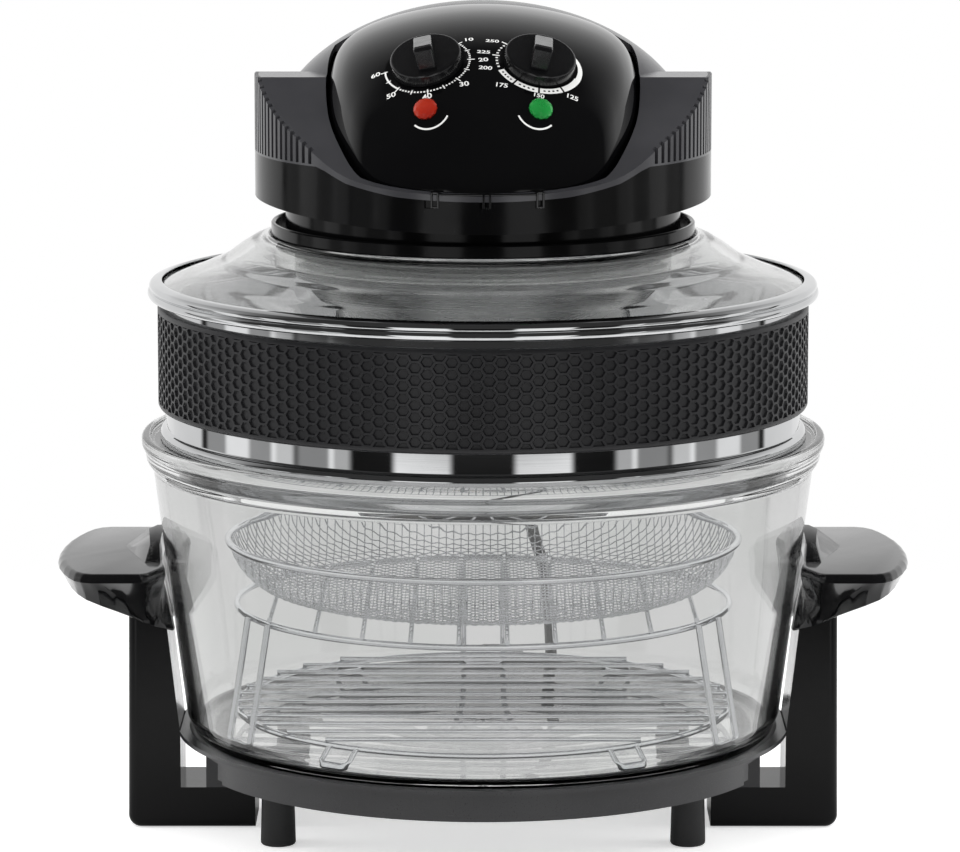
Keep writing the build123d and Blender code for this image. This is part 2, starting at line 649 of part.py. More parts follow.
def bladed(hub_r, hub, tip_r, blades, pitch, chord, middle):
    """Fan: a bored hub with flat blades set at a pitch angle."""
    fan = rod(hub_r, hub[0], hub[1])
    blade = Pos((hub_r + tip_r) / 2 - 1, 0, middle) * Rot(pitch, 0, 0) * Box(tip_r - hub_r + 2, chord, 1.0)
    for i in range(blades):
        fan = fan + Rot(0, 0, i * 360 / blades) * blade
    return fan - rod(SHAFT_R, hub[0] - 2, hub[1] + 2)


def cooling_fan():
    return bladed(7, (362.5, 372), 30, 7, 40, 11, 367.5)


def convection_fan():
    return bladed(8, (267, 279), 53, 8, 38, 13, 273.5)


def fan_nut():
    nut = Pos(0, 0, 262.5) * extrude(RegularPolygon(5.5, 6), 4.5)
    return nut - rod(SHAFT_R, 262, 268)


def terminal_block():
    """Three-way terminal block on the motor plate."""
    z = PLATE_Z + 1.2
    body = block((-16, 16), (62, 74), (z, z + 11))
    for x in (-10, 0, 10):
        body = body - rod(2.4, z + 5, z + 12, x, 68)
    return body


# ---- mains lead ------------------------------------------------------------------------------
# The lead leaves the rear of the collar, drops behind the bowl and is wound up
# on the table behind the stand.  ROUTE is chosen by hand; the coil is a ring.
GLAND_END = 138.0
ROUTE = [(0, 138, 320), (0, 160, 319), (0.6, 180, 308), (1.6, 192, 288), (3, 195, 262), (4.6, 193.5, 232),
         (6.6, 190.5, 200), (10.5, 187.5, 168), (17, 185.5, 140), (27, 184, 116), (34, 184.2, 91),
         (36.5, 185.6, 63), (37.5, 187.2, 34.5), (49, 188.4, 14.8), (69, 188.6, 3.3), (90, 187.5, 3.25)]
COIL_AT = (98.0, 222.5)
COIL_R = 35.0
COIL_HALF = 6.5
TAIL = [(98, 257.5, 9.75), (86, 257.9, 10.6), (74, 258.6, 13.4), (63, 259, 16.8), (52, 259, 18.5)]
PLUG_R = 18.5


def run_of_cord(points):
    """Tube along straight runs joined by arcs as large as the runs allow."""
    radii = []
    for a, b, c in zip(points, points[1:], points[2:]):
        first, second = Vector(b) - Vector(a), Vector(c) - Vector(b)
        turn = math.radians(first.get_angle(second))
        radii.append(0.45 * min(first.length, second.length) / math.tan(turn / 2))
    print("cord arcs, mm:", [round(r) for r in radii])
    path = FilletPolyline(*points, radius=radii)
    tube = sweep(Plane(origin=path @ 0, z_dir=path % 0) * Circle(CORD_R), path=path)
    print("length", round(path.length, 1), "volume ratio", round(tube.volume / (path.length * math.pi * CORD_R ** 2), 4))
    return tube


def cord_coil():
    """Outer form of the wound-up length."""
    section = Pos(COIL_R, COIL_HALF) * RectangleRounded(2 * COIL_HALF, 2 * COIL_HALF - 0.02, 2.5)
    return Pos(COIL_AT[0], COIL_AT[1], 0) * revolve(Plane.XZ * section, Axis.Z)


def cord_tie():
    """Twist tie round the coil's far side."""
    grow = COIL_HALF + 0.3
    band = Box(2 * grow + 1.6, 7, 2 * grow + 0.3) - Box(2 * grow, 9, 2 * grow - 0.6)
    return Pos(COIL_AT[0] + COIL_R, COIL_AT[1], grow + 0.15) * band


def strain_relief():
    """Bend protector clamped in the collar's rear wall, tapering along the lead."""
    profile = [(0, 103), (7.2, 103), (7.2, 107.4), (5, 107.4), (5, 110.8), (7.2, 110.8), (7.2, 113), (5.9, 115),
               (4.3, GLAND_END), (0, GLAND_END)]
    return Pos(0, 0, GLAND_Z) * revolve(Plane.XY * face_of(profile), Axis.Y)


def plug_body():
    """Round moulded plug lying on its side, with its tapered relief."""
    x0, y0, z0 = TAIL[-1]
    profile = [(0, 0), (4.2, 0), (5.6, 18), (8.5, 22), (15, 30), (PLUG_R, 36), (PLUG_R, 52), (PLUG_R - 1, 53),
               (0, 53)]
    body = Pos(x0, y0, z0) * Rot(0, 0, 90) * revolve(face_of(profile), Axis.Y)
    return body


def plug_pins():
    x0, y0, z0 = TAIL[-1]
    pin = Pos(x0 - 53, y0, z0) * Rot(0, -90, 0) * Cylinder(2.4, 19, align=BASE)
    return [Pos(0, side * 9.5, 0) * pin for side in (-1, 1)]


# ---- racks and basket ----------------------------------------------------------------------------
COOK_FLOOR = FLOOR_Z + 5.5 + 0.3    # wire feet stand just on the glass
RACK_R = 121.0


def hoop(radius, gauge, z):
    """Wire ring, its seams kept clear of the wires that cross it."""
    return Rot(0, 0, 7) * revolve(Plane.XZ * (Pos(radius, z) * Rot(0, 0, -100) * Circle(gauge)), Axis.Z)


def u_leg(angle, spread, top_r, top_z, foot_r, gauge):
    """Wire leg: down from the hoop, across on the glass and up again."""
    low = COOK_FLOOR + gauge
    half = math.degrees(math.asin(spread / 2 / foot_r))
    top_half = math.degrees(math.asin(spread / 2 / top_r))
    points = [polar(top_r, angle - top_half, top_z), polar(foot_r, angle - half, low),
              polar(foot_r, angle + half, low), polar(top_r, angle + top_half, top_z)]
    return wire(points, gauge, 3.2)


def low_rack():
    """Low wire rack: hoop, cross wires and four feet, welded where they touch."""
    z = 59.5
    rack = [hoop(RACK_R, 1.5, z)]
    for i in range(12):
        y = (i - 5.5) * 17.5
        half = math.sqrt(RACK_R ** 2 - y ** 2) + 0.8
        rack.append(Pos(0, y, z + 2.6) * Rot(0, 90, 0) * Cylinder(1.1, 2 * half))
    for angle in (57.6, 122.4, 237.6, 302.4):
        rack.append(u_leg(angle, 15, RACK_R + 2.2, z, 131.0, 1.25))
    return Compound(rack)


def high_rack():
    """High wire rack: hoop, cross wires front to rear and three tall legs."""
    z = 111.8
    rack = [hoop(RACK_R, 1.6, z)]
    for i in range(10):
        x = (i - 4.5) * 22.5
        half = math.sqrt(RACK_R ** 2 - x ** 2) + 2.0
        rack.append(Pos(x, 0, z + 2.85) * Rot(90, 0, 0) * Cylinder(1.25, 2 * half))
    for angle in (90, 210, 330):
        rack.append(u_leg(angle, 20.6, RACK_R + 3.15, z + 1, 133.8, 1.5))
    return Compound(rack)


BASKET_RIM = (125.0, 144.0)
BASKET_DISH = [(124.6, 143.5), (119.6, 131), (108.5, 121.2), (90, 116.9), (60, 116.3)]


def basket_rim():
    return hoop(BASKET_RIM[0], 1.75, BASKET_RIM[1])


def mesh_basket():
    """Dished mesh, as the thin shell that the weave fills."""
    wall = 1.0
    outer = Spline(*BASKET_DISH)
    inner = Spline(*[(r - 0.55 * wall, z + wall) for r, z in BASKET_DISH])
    rim = Line(BASKET_DISH[0], inner @ 0)
    floor = Polyline(BASKET_DISH[-1], (0, BASKET_DISH[-1][1]), (0, BASKET_DISH[-1][1] + wall), inner @ 1)
    return revolve(Plane.XZ * make_face([outer, inner, rim, floor]), Axis.Z)


# ---- every node -------------------------------------------------------------------------------------
def main():
    arm, one_grip = side_arm(), grip()
    left_dial = local_plane(DIAL_AT, DIAL_DIR, -1)
    right_dial = local_plane(DIAL_AT, DIAL_DIR, 1)
    left_lamp = local_plane(LAMP_AT, LAMP_DIR, -1)
    right_lamp = local_plane(LAMP_AT, LAMP_DIR, 1)
    nodes = {
        "base_ring": base_ring(),
        "support_pegs": Compound(support_pegs()),
        "side_arm_right": arm,
        "side_arm_left": mirrored(arm),
        "grip_right": one_grip,
        "grip_left": mirrored(one_grip),
        "arm_screws": Compound(arm_screws()),
        "grip_screws": Compound(grip_screws()),
        "glass_bowl": glass_bowl(),
        "steel_ring": steel_ring(),
        "silicone_band": silicone_band(),
        "lid_glass": lid_glass(),
        "lid_rim_band": lid_rim_band(),
        "neck_ring": neck_ring(),
        "head_base": head_base(),
        "top_cover": top_cover(),
        "control_panel": control_panel(),
        "timer_knob": left_dial * knob(),
        "timer_shaft": left_dial * knob_shaft(),
        "timer_unit": left_dial * timer_unit(),
        "temperature_knob": right_dial * knob(),
        "temperature_shaft": right_dial * knob_shaft(),
        "thermostat": right_dial * thermostat(),
        "power_lens": left_lamp * lens(),
        "heat_lens": right_lamp * lens(),
        "indicator_lamps": Compound([left_lamp * lamp_body(), right_lamp * lamp_body()]),
        "heater_shroud": shroud(),
        "reflector_plate": reflector_plate(),
        "heat_shield": heat_shield(),
        "halogen_lamp": halogen_lamp(),
        "lamp_holders": Compound(lamp_holders()),
        "wire_guard": wire_guard(),
        "guard_screws": Compound(guard_screws()),
        "shroud_screws": Compound(shroud_screws()),
        "cover_screws": Compound(cover_screws()),
        "motor_plate": motor_plate(),
        "plate_screws": Compound(plate_screws()),
        "motor_posts": Compound(motor_posts()),
        "bearing_bridges": Compound(bearing_bridges()),
        "motor_bushes": Compound(motor_bushes()),
        "motor_stator": motor_stator(),
        "motor_coil": motor_coil(),
        "motor_rotor": motor_rotor(),
        "motor_shaft": motor_shaft(),
        "cooling_fan": cooling_fan(),
        "convection_fan": convection_fan(),
        "fan_nut": fan_nut(),
        "terminal_block": terminal_block(),
        "strain_relief": strain_relief(),
        "power_cord": (run_of_cord(ROUTE) - cord_coil() - strain_relief()).solids().sort_by(SortBy.VOLUME)[-1],
        "cord_coil": cord_coil(),
        "cord_tail": run_of_cord(TAIL) - cord_coil() - plug_body(),
        "cord_tie": cord_tie() - cord_coil(),
        "plug_body": plug_body(),
        "plug_pins": Compound(plug_pins()),
        "low_rack": low_rack(),
        "high_rack": high_rack(),
        "basket_rim": basket_rim(),
        "mesh_basket": mesh_basket() - basket_rim(),
    }
    for name, shape in nodes.items():
        save(shape, name)


main()
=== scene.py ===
import bpy
import numpy as np
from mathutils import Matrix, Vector


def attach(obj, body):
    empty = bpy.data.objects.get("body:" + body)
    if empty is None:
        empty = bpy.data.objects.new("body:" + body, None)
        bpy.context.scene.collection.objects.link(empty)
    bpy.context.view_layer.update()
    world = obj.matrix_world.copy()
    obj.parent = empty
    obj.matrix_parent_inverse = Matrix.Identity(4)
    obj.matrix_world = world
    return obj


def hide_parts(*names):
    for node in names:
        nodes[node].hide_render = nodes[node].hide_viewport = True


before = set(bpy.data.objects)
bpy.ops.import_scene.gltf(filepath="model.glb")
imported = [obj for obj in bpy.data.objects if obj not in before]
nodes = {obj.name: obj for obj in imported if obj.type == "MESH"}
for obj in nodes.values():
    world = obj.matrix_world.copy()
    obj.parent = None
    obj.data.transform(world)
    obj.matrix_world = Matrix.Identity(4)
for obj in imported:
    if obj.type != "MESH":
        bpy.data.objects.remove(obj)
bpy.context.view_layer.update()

# Sizes and places are in mm in the frame's axes, with X to the right, Y to the
# rear and Z up from the table.
scene = bpy.context.scene
CIRCLE = 2 * np.pi


def new_object(name, data):
    """Adds an object with this data to the scene."""
    made = bpy.data.objects.new(name, data)
    scene.collection.objects.link(made)
    return made


def stand_and_aim(made, place_m, aim_m):
    """Puts a camera or a lamp somewhere and turns it towards a point."""
    made.location = place_m
    made.rotation_euler = (Vector(aim_m) - Vector(place_m)).to_track_quat("-Z", "Y").to_euler()


# ---- the camera --------------------------------------------------------------
# A long lens a couple of metres away and a little above the lid, looking down
# at the front of the oven.
lens = bpy.data.cameras.new("camera")
lens.lens = 187.5
lens.sensor_width = 36.0
lens.clip_end = 60
camera = new_object("camera", lens)
stand_and_aim(camera, place_m=(0.0, -2.418, 0.5927), aim_m=(-0.0015, 0, 0.1967))
scene.camera = camera
scene.view_settings.view_transform = "Standard"


# ---- how finishes are made ---------------------------------------------------
def linear(code):
    """Linear colour of an sRGB hex value: v/12.92 for small v, else ((v+0.055)/1.055)^2.4."""
    v = np.array([int(code[i:i + 2], 16) for i in (1, 3, 5)]) / 255
    return (*np.where(v < 0.04045, v / 12.92, ((v + 0.055) / 1.055) ** 2.4), 1.0)


def grey(value):
    """Linear colour of a neutral grey."""
    return (value, value, value, 1)


def add(finish, kind, inputs=None, **settings):
    """First output of one new shader node, with settings, and values or links for its inputs."""
    node = finish.node_tree.nodes.new("ShaderNode" + kind)
    for key, value in settings.items():
        setattr(node, key, value)
    for key, value in (inputs or {}).items():
        if isinstance(value, bpy.types.NodeSocket):
            finish.node_tree.links.new(value, node.inputs[key])
        else:
            node.inputs[key].default_value = value
    return node.outputs[0]


def maths(finish, operation, *values):
    """Output of a Math node for one or two values."""
    return add(finish, "Math", dict(enumerate(values)), operation=operation)


def ramp(finish, factor, low, high, at=(0.3, 0.7)):
    """Blend between two colours as factor passes between two positions."""
    blend = add(finish, "ValToRGB", {0: factor})
    ends = blend.node.color_ramp.elements
    ends[0].position, ends[1].position = at
    ends[0].color, ends[1].color = low, high
    return blend


def object_place(finish):
    """The point of the object's own space that is being shaded."""
    return add(finish, "TexCoord").node.outputs["Object"]


def socket(finish, name):
    """A socket of the finish's Principled shader; underscores stand for spaces."""
    return finish.node_tree.nodes["Principled BSDF"].inputs[name.replace("_", " ")]


def new_finish(name, **values):
    """A material whose Principled shader gets these values in its sockets."""
    finish = bpy.data.materials.new(name)
    finish.use_nodes = True
    for key, value in values.items():
        socket(finish, key).default_value = value
    return finish


def feed(finish, **links):
    """Links outputs of nodes to sockets of the finish's shader."""
    for key, value in links.items():
        finish.node_tree.links.new(value, socket(finish, key))


def grained(name, grain, depth, dark, light, smooth, rough, stretch=(1, 1, 1), **values):
    """A finish with a grain: noise of a real size in its height, tone and roughness."""
    finish = new_finish(name, **values)
    where = object_place(finish)
    scaled = add(finish, "Mapping", {"Vector": where, "Scale": tuple(1 / s for s in stretch)})
    noise = add(finish, "TexNoise", {"Vector": scaled, "Scale": 1000 / grain, "Detail": 4.0})
    cloud = add(finish, "TexNoise", {"Vector": where, "Scale": 24.0, "Detail": 3.0})
    feed(finish,
         Base_Color=ramp(finish, cloud, linear(dark), linear(light)),
         Roughness=ramp(finish, noise, grey(smooth), grey(rough)),
         Normal=add(finish, "Bump", {"Height": noise, "Distance": depth / 1000, "Strength": 1.0}))
    return finish


def dress(finish, *names):
    """Gives CAD nodes, or pieces, their finish."""
    for item in names:
        piece = nodes[item] if isinstance(item, str) else item
        piece.data.materials.clear()
        piece.data.materials.append(finish)


# ---- the mains lead ----------------------------------------------------------
# Round three-core lead, 6.5 mm over its PVC sheath, about a metre long.  It
# leaves the rear of the collar, drops behind the bowl and is wound up on the
# table behind the stand, held by a twist tie, with its plug beside it.  The
# sheath is flexible PVC: soft sheen, slightly uneven along its length.
LEAD_R = 3.25
COIL_MIDDLE = (98, 222.5)
OUTER_TURN, INNER_TURN, TOP_TURN = 38.3, 31.7, 35      # radii
LYING, ON_TOP = LEAD_R, 9.8                            # heights
POINTS_A_TURN = 14

sheath_pvc = grained("flexible_PVC_sheath", 1.2, 0.05, "#151515", "#1E1E1E", 0.42, 0.58, IOR=1.53)
lead_route = [(0, 138, 320), (0, 160, 319), (0.6, 180, 308), (1.6, 192, 288), (3, 195, 262),
              (4.6, 193.5, 232), (6.6, 190.5, 200), (10.5, 187.5, 168), (17, 185.5, 140), (27, 184, 116),
              (34, 184.2, 91), (36.5, 185.6, 63), (37.5, 187.2, 34.5), (49, 188.4, 14.8), (69, 187.2, 3.3),
              (90, 184.2, LYING)]
# Two and a half turns: one outside, one inside it, and the last half turn on top.
for i in range(1, 5 * POINTS_A_TURN // 2 + 1):
    turn = i / POINTS_A_TURN
    radius = np.interp(turn, [0.75, 1.0, 1.9, 2.4], [OUTER_TURN, INNER_TURN, INNER_TURN, TOP_TURN])
    height = np.interp(turn, [1.45, 1.72], [LYING, ON_TOP])
    angle = CIRCLE * (turn - 0.25)
    x = COIL_MIDDLE[0] + radius * np.cos(angle)
    y = COIL_MIDDLE[1] + radius * np.sin(angle)
    lead_route.append((x, y, height))
lead_route += [(86, 257.9, 10.6), (74, 258.6, 13.4), (63, 259, 16.8), (52, 259, 18.5)]

lead_curve = bpy.data.curves.new("mains_lead", "CURVE")
lead_curve.dimensions = "3D"
spline = lead_curve.splines.new("NURBS")
spline.points.add(len(lead_route) - 1)
for point, place in zip(spline.points, lead_route):
    point.co = (place[0] / 1000, place[1] / 1000, place[2] / 1000, 1)
spline.order_u = 3
spline.use_endpoint_u = True
spline.resolution_u = 8
lead_curve.bevel_depth = LEAD_R / 1000
lead_curve.bevel_resolution = 5
lead_curve.use_fill_caps = True
mains_lead = new_object("mains_lead", lead_curve)
dress(sheath_pvc, mains_lead, "plug_body", "cord_tie")
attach(mains_lead, "lid")
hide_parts("power_cord", "cord_coil", "cord_tail")


# ---- how pieces are made -----------------------------------------------------
def piece_of(name, points, faces, finish, body, sharp=35):
    """Mesh piece from points and faces; edges sharper than `sharp` degrees stay crisp."""
    mesh = bpy.data.meshes.new(name)
    faces = [[int(corner) for corner in face] for face in faces]
    mesh.from_pydata((np.asarray(points, float) / 1000).tolist(), [], faces)
    mesh.update()
    mesh.shade_smooth()
    mesh.set_sharp_from_angle(angle=np.radians(sharp))
    mesh.materials.append(finish)
    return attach(new_object(name, mesh), body)


def grid_faces(rows, columns, wrap_rows=False, wrap_columns=False):
    """Four-cornered faces of a grid of points that is stored row by row."""
    i = np.arange(rows if wrap_rows else rows - 1)[:, None]
    j = np.arange(columns if wrap_columns else columns - 1)[None, :]
    a, b = i * columns, (i + 1) % rows * columns
    c, d = j, (j + 1) % columns
    return np.stack([a + c, a + d, b + d, b + c], -1).reshape(-1, 4)


def round_the_clock(steps, first=0.0):
    """Evenly spaced angles of one whole turn."""
    return np.linspace(first, first + CIRCLE, steps, endpoint=False)


def eased(corners, radius, steps=5):
    """Closed outline with each corner swapped for a curve: (1-t)^2 a + 2t(1-t) corner + t^2 b."""
    here = np.asarray(corners, float)
    before, after = np.roll(here, 1, 0), np.roll(here, -1, 0)
    t = np.linspace(0, 1, steps)[None, :, None]

    def toward(other):
        way = other - here
        size = np.linalg.norm(way, axis=1, keepdims=True)
        return here + way * np.minimum(radius / size, 0.45)

    a, b = toward(before)[:, None], toward(after)[:, None]
    return ((1 - t) ** 2 * a + 2 * t * (1 - t) * here[:, None] + t ** 2 * b).reshape(-1, 2)


def swept(outline, steps=224, closed=True):
    """Points and faces of a (radius, height) outline swept round Z: (r cos t, r sin t, z)."""
    t = round_the_clock(steps)
    r, z = np.asarray(outline, float).T
    points = np.stack([np.outer(np.cos(t), r), np.outer(np.sin(t), r), np.tile(z, (steps, 1))], -1)
    faces = grid_faces(steps, len(r), True, closed)
    area = np.sum(r * np.roll(z, -1) - np.roll(r, -1) * z)
    return points.reshape(-1, 3), faces if area < 0 else faces[:, ::-1]


def turned(name, outline, finish, body):
    """A hollow ring or dome, whose closed outline stays clear of the axis."""
    return piece_of(name, *swept(outline), finish, body)


def round_edges(piece, width, angle=30):
    """Rounds the edges of a piece that are sharper than an angle in degrees."""
    edge = piece.modifiers.new("edge", "BEVEL")
    edge.width = width / 1000
    edge.segments = 3
    edge.limit_method = "ANGLE"
    edge.angle_limit = np.radians(angle)


def hand(side):
    """Word for a side of the oven, +1 or -1 in X."""
    return "right" if side > 0 else "left"


# ---- the bend protector ------------------------------------------------------
# Tapered PVC moulding clamped in the collar, with ribs that let it bend evenly.
# Its profile runs along Y, as (radius, y) round the lead where it leaves.
EXIT_Z = 320
PROTECTOR_FRONT, PROTECTOR_END = 112.9, 138
RIB_PITCH, GROOVE_DEPTH = 3.4, 0.55

along = np.linspace(113, PROTECTOR_END, 120)
waist = np.interp(along, [113, 114, PROTECTOR_END], [7.2, 6.3, 4.4])
grooved = (np.sin((along - 115) * CIRCLE / RIB_PITCH) > 0.55) & (along > 115.5) & (along < 136.5)
profile = np.vstack([[(3.3, PROTECTOR_END), (3.3, PROTECTOR_FRONT), (7.2, PROTECTOR_FRONT)],
                     np.stack([waist - GROOVE_DEPTH * grooved, along], -1)])
spun, spun_faces = swept(profile, 48)
spun = np.stack([spun[:, 0], spun[:, 2], EXIT_Z - spun[:, 1]], -1)
bend_protector = piece_of("bend_protector", spun, spun_faces, sheath_pvc, "lid")
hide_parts("strain_relief")


# ---- the plug's pins ---------------------------------------------------------
# Turned brass, plain, with a dull tone where fingers touch them.
turned_brass = grained("turned_brass", 0.8, 0.01, "#B08D4C", "#C9A862", 0.22, 0.34, Metallic=1.0)
dress(turned_brass, "plug_pins", "motor_bushes")


# ---- the stand ---------------------------------------------------------------
# Base ring of satin black ABS and two hollow arms of polished black ABS, on four
# short rubber-tipped pegs.  The oven's screws and small steel parts are zinc plated.
satin_abs = grained("fine_textured_ABS", 0.5, 0.01, "#1E1E20", "#242426", 0.26, 0.36, IOR=1.53)
polished_abs = grained("polished_moulded_ABS", 14, 0.04, "#090909", "#0C0C0D", 0.10, 0.17,
                       IOR=1.54, Specular_IOR_Level=0.14)
foot_rubber = grained("moulded_rubber", 0.7, 0.03, "#1A1A1B", "#232324", 0.5, 0.62, IOR=1.52)
zinc_plate = grained("zinc_plated_steel", 2.0, 0.01, "#9A9C9E", "#B4B6B8", 0.25, 0.4, Metallic=1.0)
dress(satin_abs, "base_ring")
dress(polished_abs, "side_arm_left", "side_arm_right")
dress(foot_rubber, "support_pegs")
dress(zinc_plate, "arm_screws", "grip_screws", "guard_screws", "shroud_screws", "cover_screws",
      "plate_screws", "motor_plate", "heat_shield", "motor_posts", "bearing_bridges", "motor_shaft",
      "timer_shaft", "temperature_shaft", "fan_nut", "motor_rotor")


# ---- the carry grips ---------------------------------------------------------
# Solid phenolic mouldings: a flat-topped shelf with a bowed outer edge, whose
# front and rear run down into a sleeve round the arm's upper end, and a wedge
# lug on top beside the bowl.  Outlines are of the right grip, for y >= 0, from
# its outer side round to its inner.
ARM_X = 168
TOP_ROUNDING = 4
HOLLOW = 2.2
EDGE_ANGLE = 32
SHELF_TOP = [(208.5, 0, 131), (207.9, 14, 131), (206.1, 28, 131), (202.9, 42, 131), (199.8, 52, 131),
             (196.6, 59.5, 131), (192.8, 64, 131), (188, 66, 131), (164.5, 66, 131), (161.5, 64.4, 131),
             (153.2, 46, 131), (156.2, 28, 131), (158.2, 14, 131), (158.9, 0, 131)]
SLEEVE_RIM = [(205.6, 0, 124.8), (204.6, 14, 124.6), (202.6, 28, 124.3), (199.4, 42, 123.8),
              (195.6, 53, 122.9), (191, 59.5, 121.4), (184, 60, 118.6), (176.5, 50, 113.6),
              (171.5, 40, 109.4), (165.5, 31.5, 104.6), (160, 28.5, 102), (151, 28, 100), (150.4, 24, 100),
              (152.2, 12, 100), (153, 0, 100)]
ARM_MOUTH = [(173.4, 0, 113), (173.4, 22, 113), (165, 22.2, 106.5), (155, 22.2, 101.5), (154.5, 0, 101)]
LUG_FOOT = [(156.6, -34, 133.5), (164.5, -37, 133.5), (178.5, 11, 133.5), (168, 32, 133.5),
            (157.4, 33, 133.5)]
LUG_CREST = [(157.9, -20, 141.4), (162.4, -20, 141.6), (165.0, 11, 143.6), (161.4, 20, 143.8),
             (158.2, 21, 143.8)]

grip_phenolic = grained("polished_phenolic", 12, 0.04, "#0D0D0E", "#121213", 0.07, 0.13,
                        IOR=1.6, Specular_IOR_Level=0.36)
bearings = round_the_clock(480, -np.pi)


def by_bearing(half_outline):
    """Radius and height, at each bearing round the arm, of an outline that is mirrored in y."""
    outline = half_outline + [(x, -y, z) for x, y, z in half_outline if y > 0]
    corners = np.array(outline, float) - (ARM_X, 0, 0)
    corners = corners[np.argsort(np.arctan2(corners[:, 1], corners[:, 0]))]
    cut = np.linspace(0, 1, 24, endpoint=False)[:, None]
    x, y, z = (corners[:, None] + (np.roll(corners, -1, 0) - corners)[:, None] * cut).reshape(-1, 3).T
    angle = np.arctan2(y, x)
    return (np.interp(bearings, angle, np.hypot(x, y), period=CIRCLE),
            np.interp(bearings, angle, z, period=CIRCLE))


def grip_shelf():
    """Rings of points from the shelf's rounded top edge down to the sleeve's rim and into its mouth."""
    top_r, top_z = by_bearing(SHELF_TOP)
    rim_r, rim_z = by_bearing(SLEEVE_RIM)
    mouth_r, mouth_z = by_bearing(ARM_MOUTH)
    levels = [(top_r - TOP_ROUNDING * (1 - np.sin(ease)), top_z + TOP_ROUNDING * np.cos(ease))
              for ease in np.linspace(0, np.pi / 2, 7)]
    # The side is hollow where the shelf overhangs the sleeve by 3 mm or more.
    overhang = np.clip((top_r - rim_r - 3) / 10, 0, 1)
    for share in np.linspace(0, 1, 22)[1:]:
        hollow = HOLLOW * np.sin(np.pi * share) * overhang
        levels.append((top_r + (rim_r - top_r) * share - hollow, top_z + (rim_z + 1 - top_z) * share))
    levels += [(rim_r - 0.3, rim_z + 0.3), (rim_r - 1, rim_z)]
    levels += [(mouth_r, mouth_z), (mouth_r - 0.6, mouth_z + 4)]
    r, z = np.swapaxes(levels, 0, 1)
    return np.stack([ARM_X + r * np.cos(bearings), r * np.sin(bearings), z], -1)


def carry_grip(side):
    """One grip: the shelf and sleeve, closed at both ends, with the lug sunk into the shelf's top."""
    shelf = grip_shelf()
    rows, columns = shelf.shape[:2]
    corners = len(LUG_FOOT)
    points = np.vstack([shelf.reshape(-1, 3), LUG_FOOT, LUG_CREST]) * (side, 1, 1)
    faces = grid_faces(rows, columns, False, True)[:, ::-1].tolist()
    faces += [list(range(columns)), list(range((rows - 1) * columns, rows * columns))[::-1]]
    lug = [list(range(corners))[::-1], list(range(corners, 2 * corners))]
    lug += grid_faces(2, corners, False, True).tolist()
    faces += [[corner + rows * columns for corner in face] for face in lug]
    if side < 0:
        faces = [face[::-1] for face in faces]
    grip = piece_of("carry_grip_" + hand(side), points, faces, grip_phenolic, "base_frame", EDGE_ANGLE)
    round_edges(grip, 0.7, EDGE_ANGLE)
    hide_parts("grip_" + hand(side))


carry_grip(1)
carry_grip(-1)


# ---- the glass bowl ----------------------------------------------------------
# Pressed soda-lime glass, 5 mm thick, its rim a stepped bead with an inner ledge.
# Its faint tint and its surface vary a little, as those of pressed glass do.
soda_glass = new_finish("pressed_soda_lime_glass", IOR=1.47, Transmission_Weight=1.0, Roughness=0.0)
ripple = add(soda_glass, "TexNoise", {"Vector": object_place(soda_glass), "Scale": 22.0, "Detail": 1.0})
feed(soda_glass,
     Base_Color=ramp(soda_glass, ripple, linear("#F8F9F8"), linear("#FCFCFC")),
     Normal=add(soda_glass, "Bump", {"Height": ripple, "Distance": 0.00012, "Strength": 0.6}))

BOWL_OUTLINE = [(0.5, 45), (134.6, 45), (142.6, 48.4), (146, 56.4), (161, 175), (161.4, 178.5),
                (164.6, 182.5), (165.4, 188), (166.1, 188.6), (167, 190.5), (167, 193.7), (165.8, 195),
                (162.7, 195), (162.2, 193), (152.6, 193), (152.6, 188), (156, 178), (140.8, 57.5),
                (138.7, 52.5), (133.8, 50.5), (0.5, 50.5)]
BOWL_STEPS = 224


def pressed_bowl():
    """The bowl: its outline swept round, less the two corners at the axis, where flat discs close it."""
    soft = eased(BOWL_OUTLINE, 1.6)
    wall = soft[soft[:, 0] > 0.3]
    points, faces = swept(wall, BOWL_STEPS, closed=False)
    under = np.arange(BOWL_STEPS) * len(wall)
    floor = under + len(wall) - 1
    faces = faces.tolist() + [under[::-1], floor]
    bowl = piece_of("pressed_bowl", points, faces, soda_glass, "bowl")
    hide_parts("glass_bowl")


pressed_bowl()


# ---- the racks and the basket ------------------------------------------------
# Bright chromium plating on drawn steel wire.  The basket's cloth is woven of
# thinner wire, drawn at a little more than its real pitch.
CLOTH_PITCH, CLOTH_REACH = 3.8, 124.4
CLOTH_WIRE_R, WIRE_SIDES = 0.34, 5
WEAVE_HEIGHT = 0.42

chromed_wire = grained("chromium_plated_wire", 3.0, 0.01, "#CDCFD1", "#E2E3E5", 0.05, 0.10, Metallic=1.0)
dress(chromed_wire, "low_rack", "high_rack", "basket_rim", "wire_guard")


def dish(r):
    """Height of the basket's wire cloth at a radius."""
    return np.interp(r, [0, 60, 90, 100, 108.5, 114.5, 119.6, 122.6, 124.6],
                     [116.9, 116.9, 117.4, 118.9, 121.8, 126, 131.6, 137.4, 143.5])


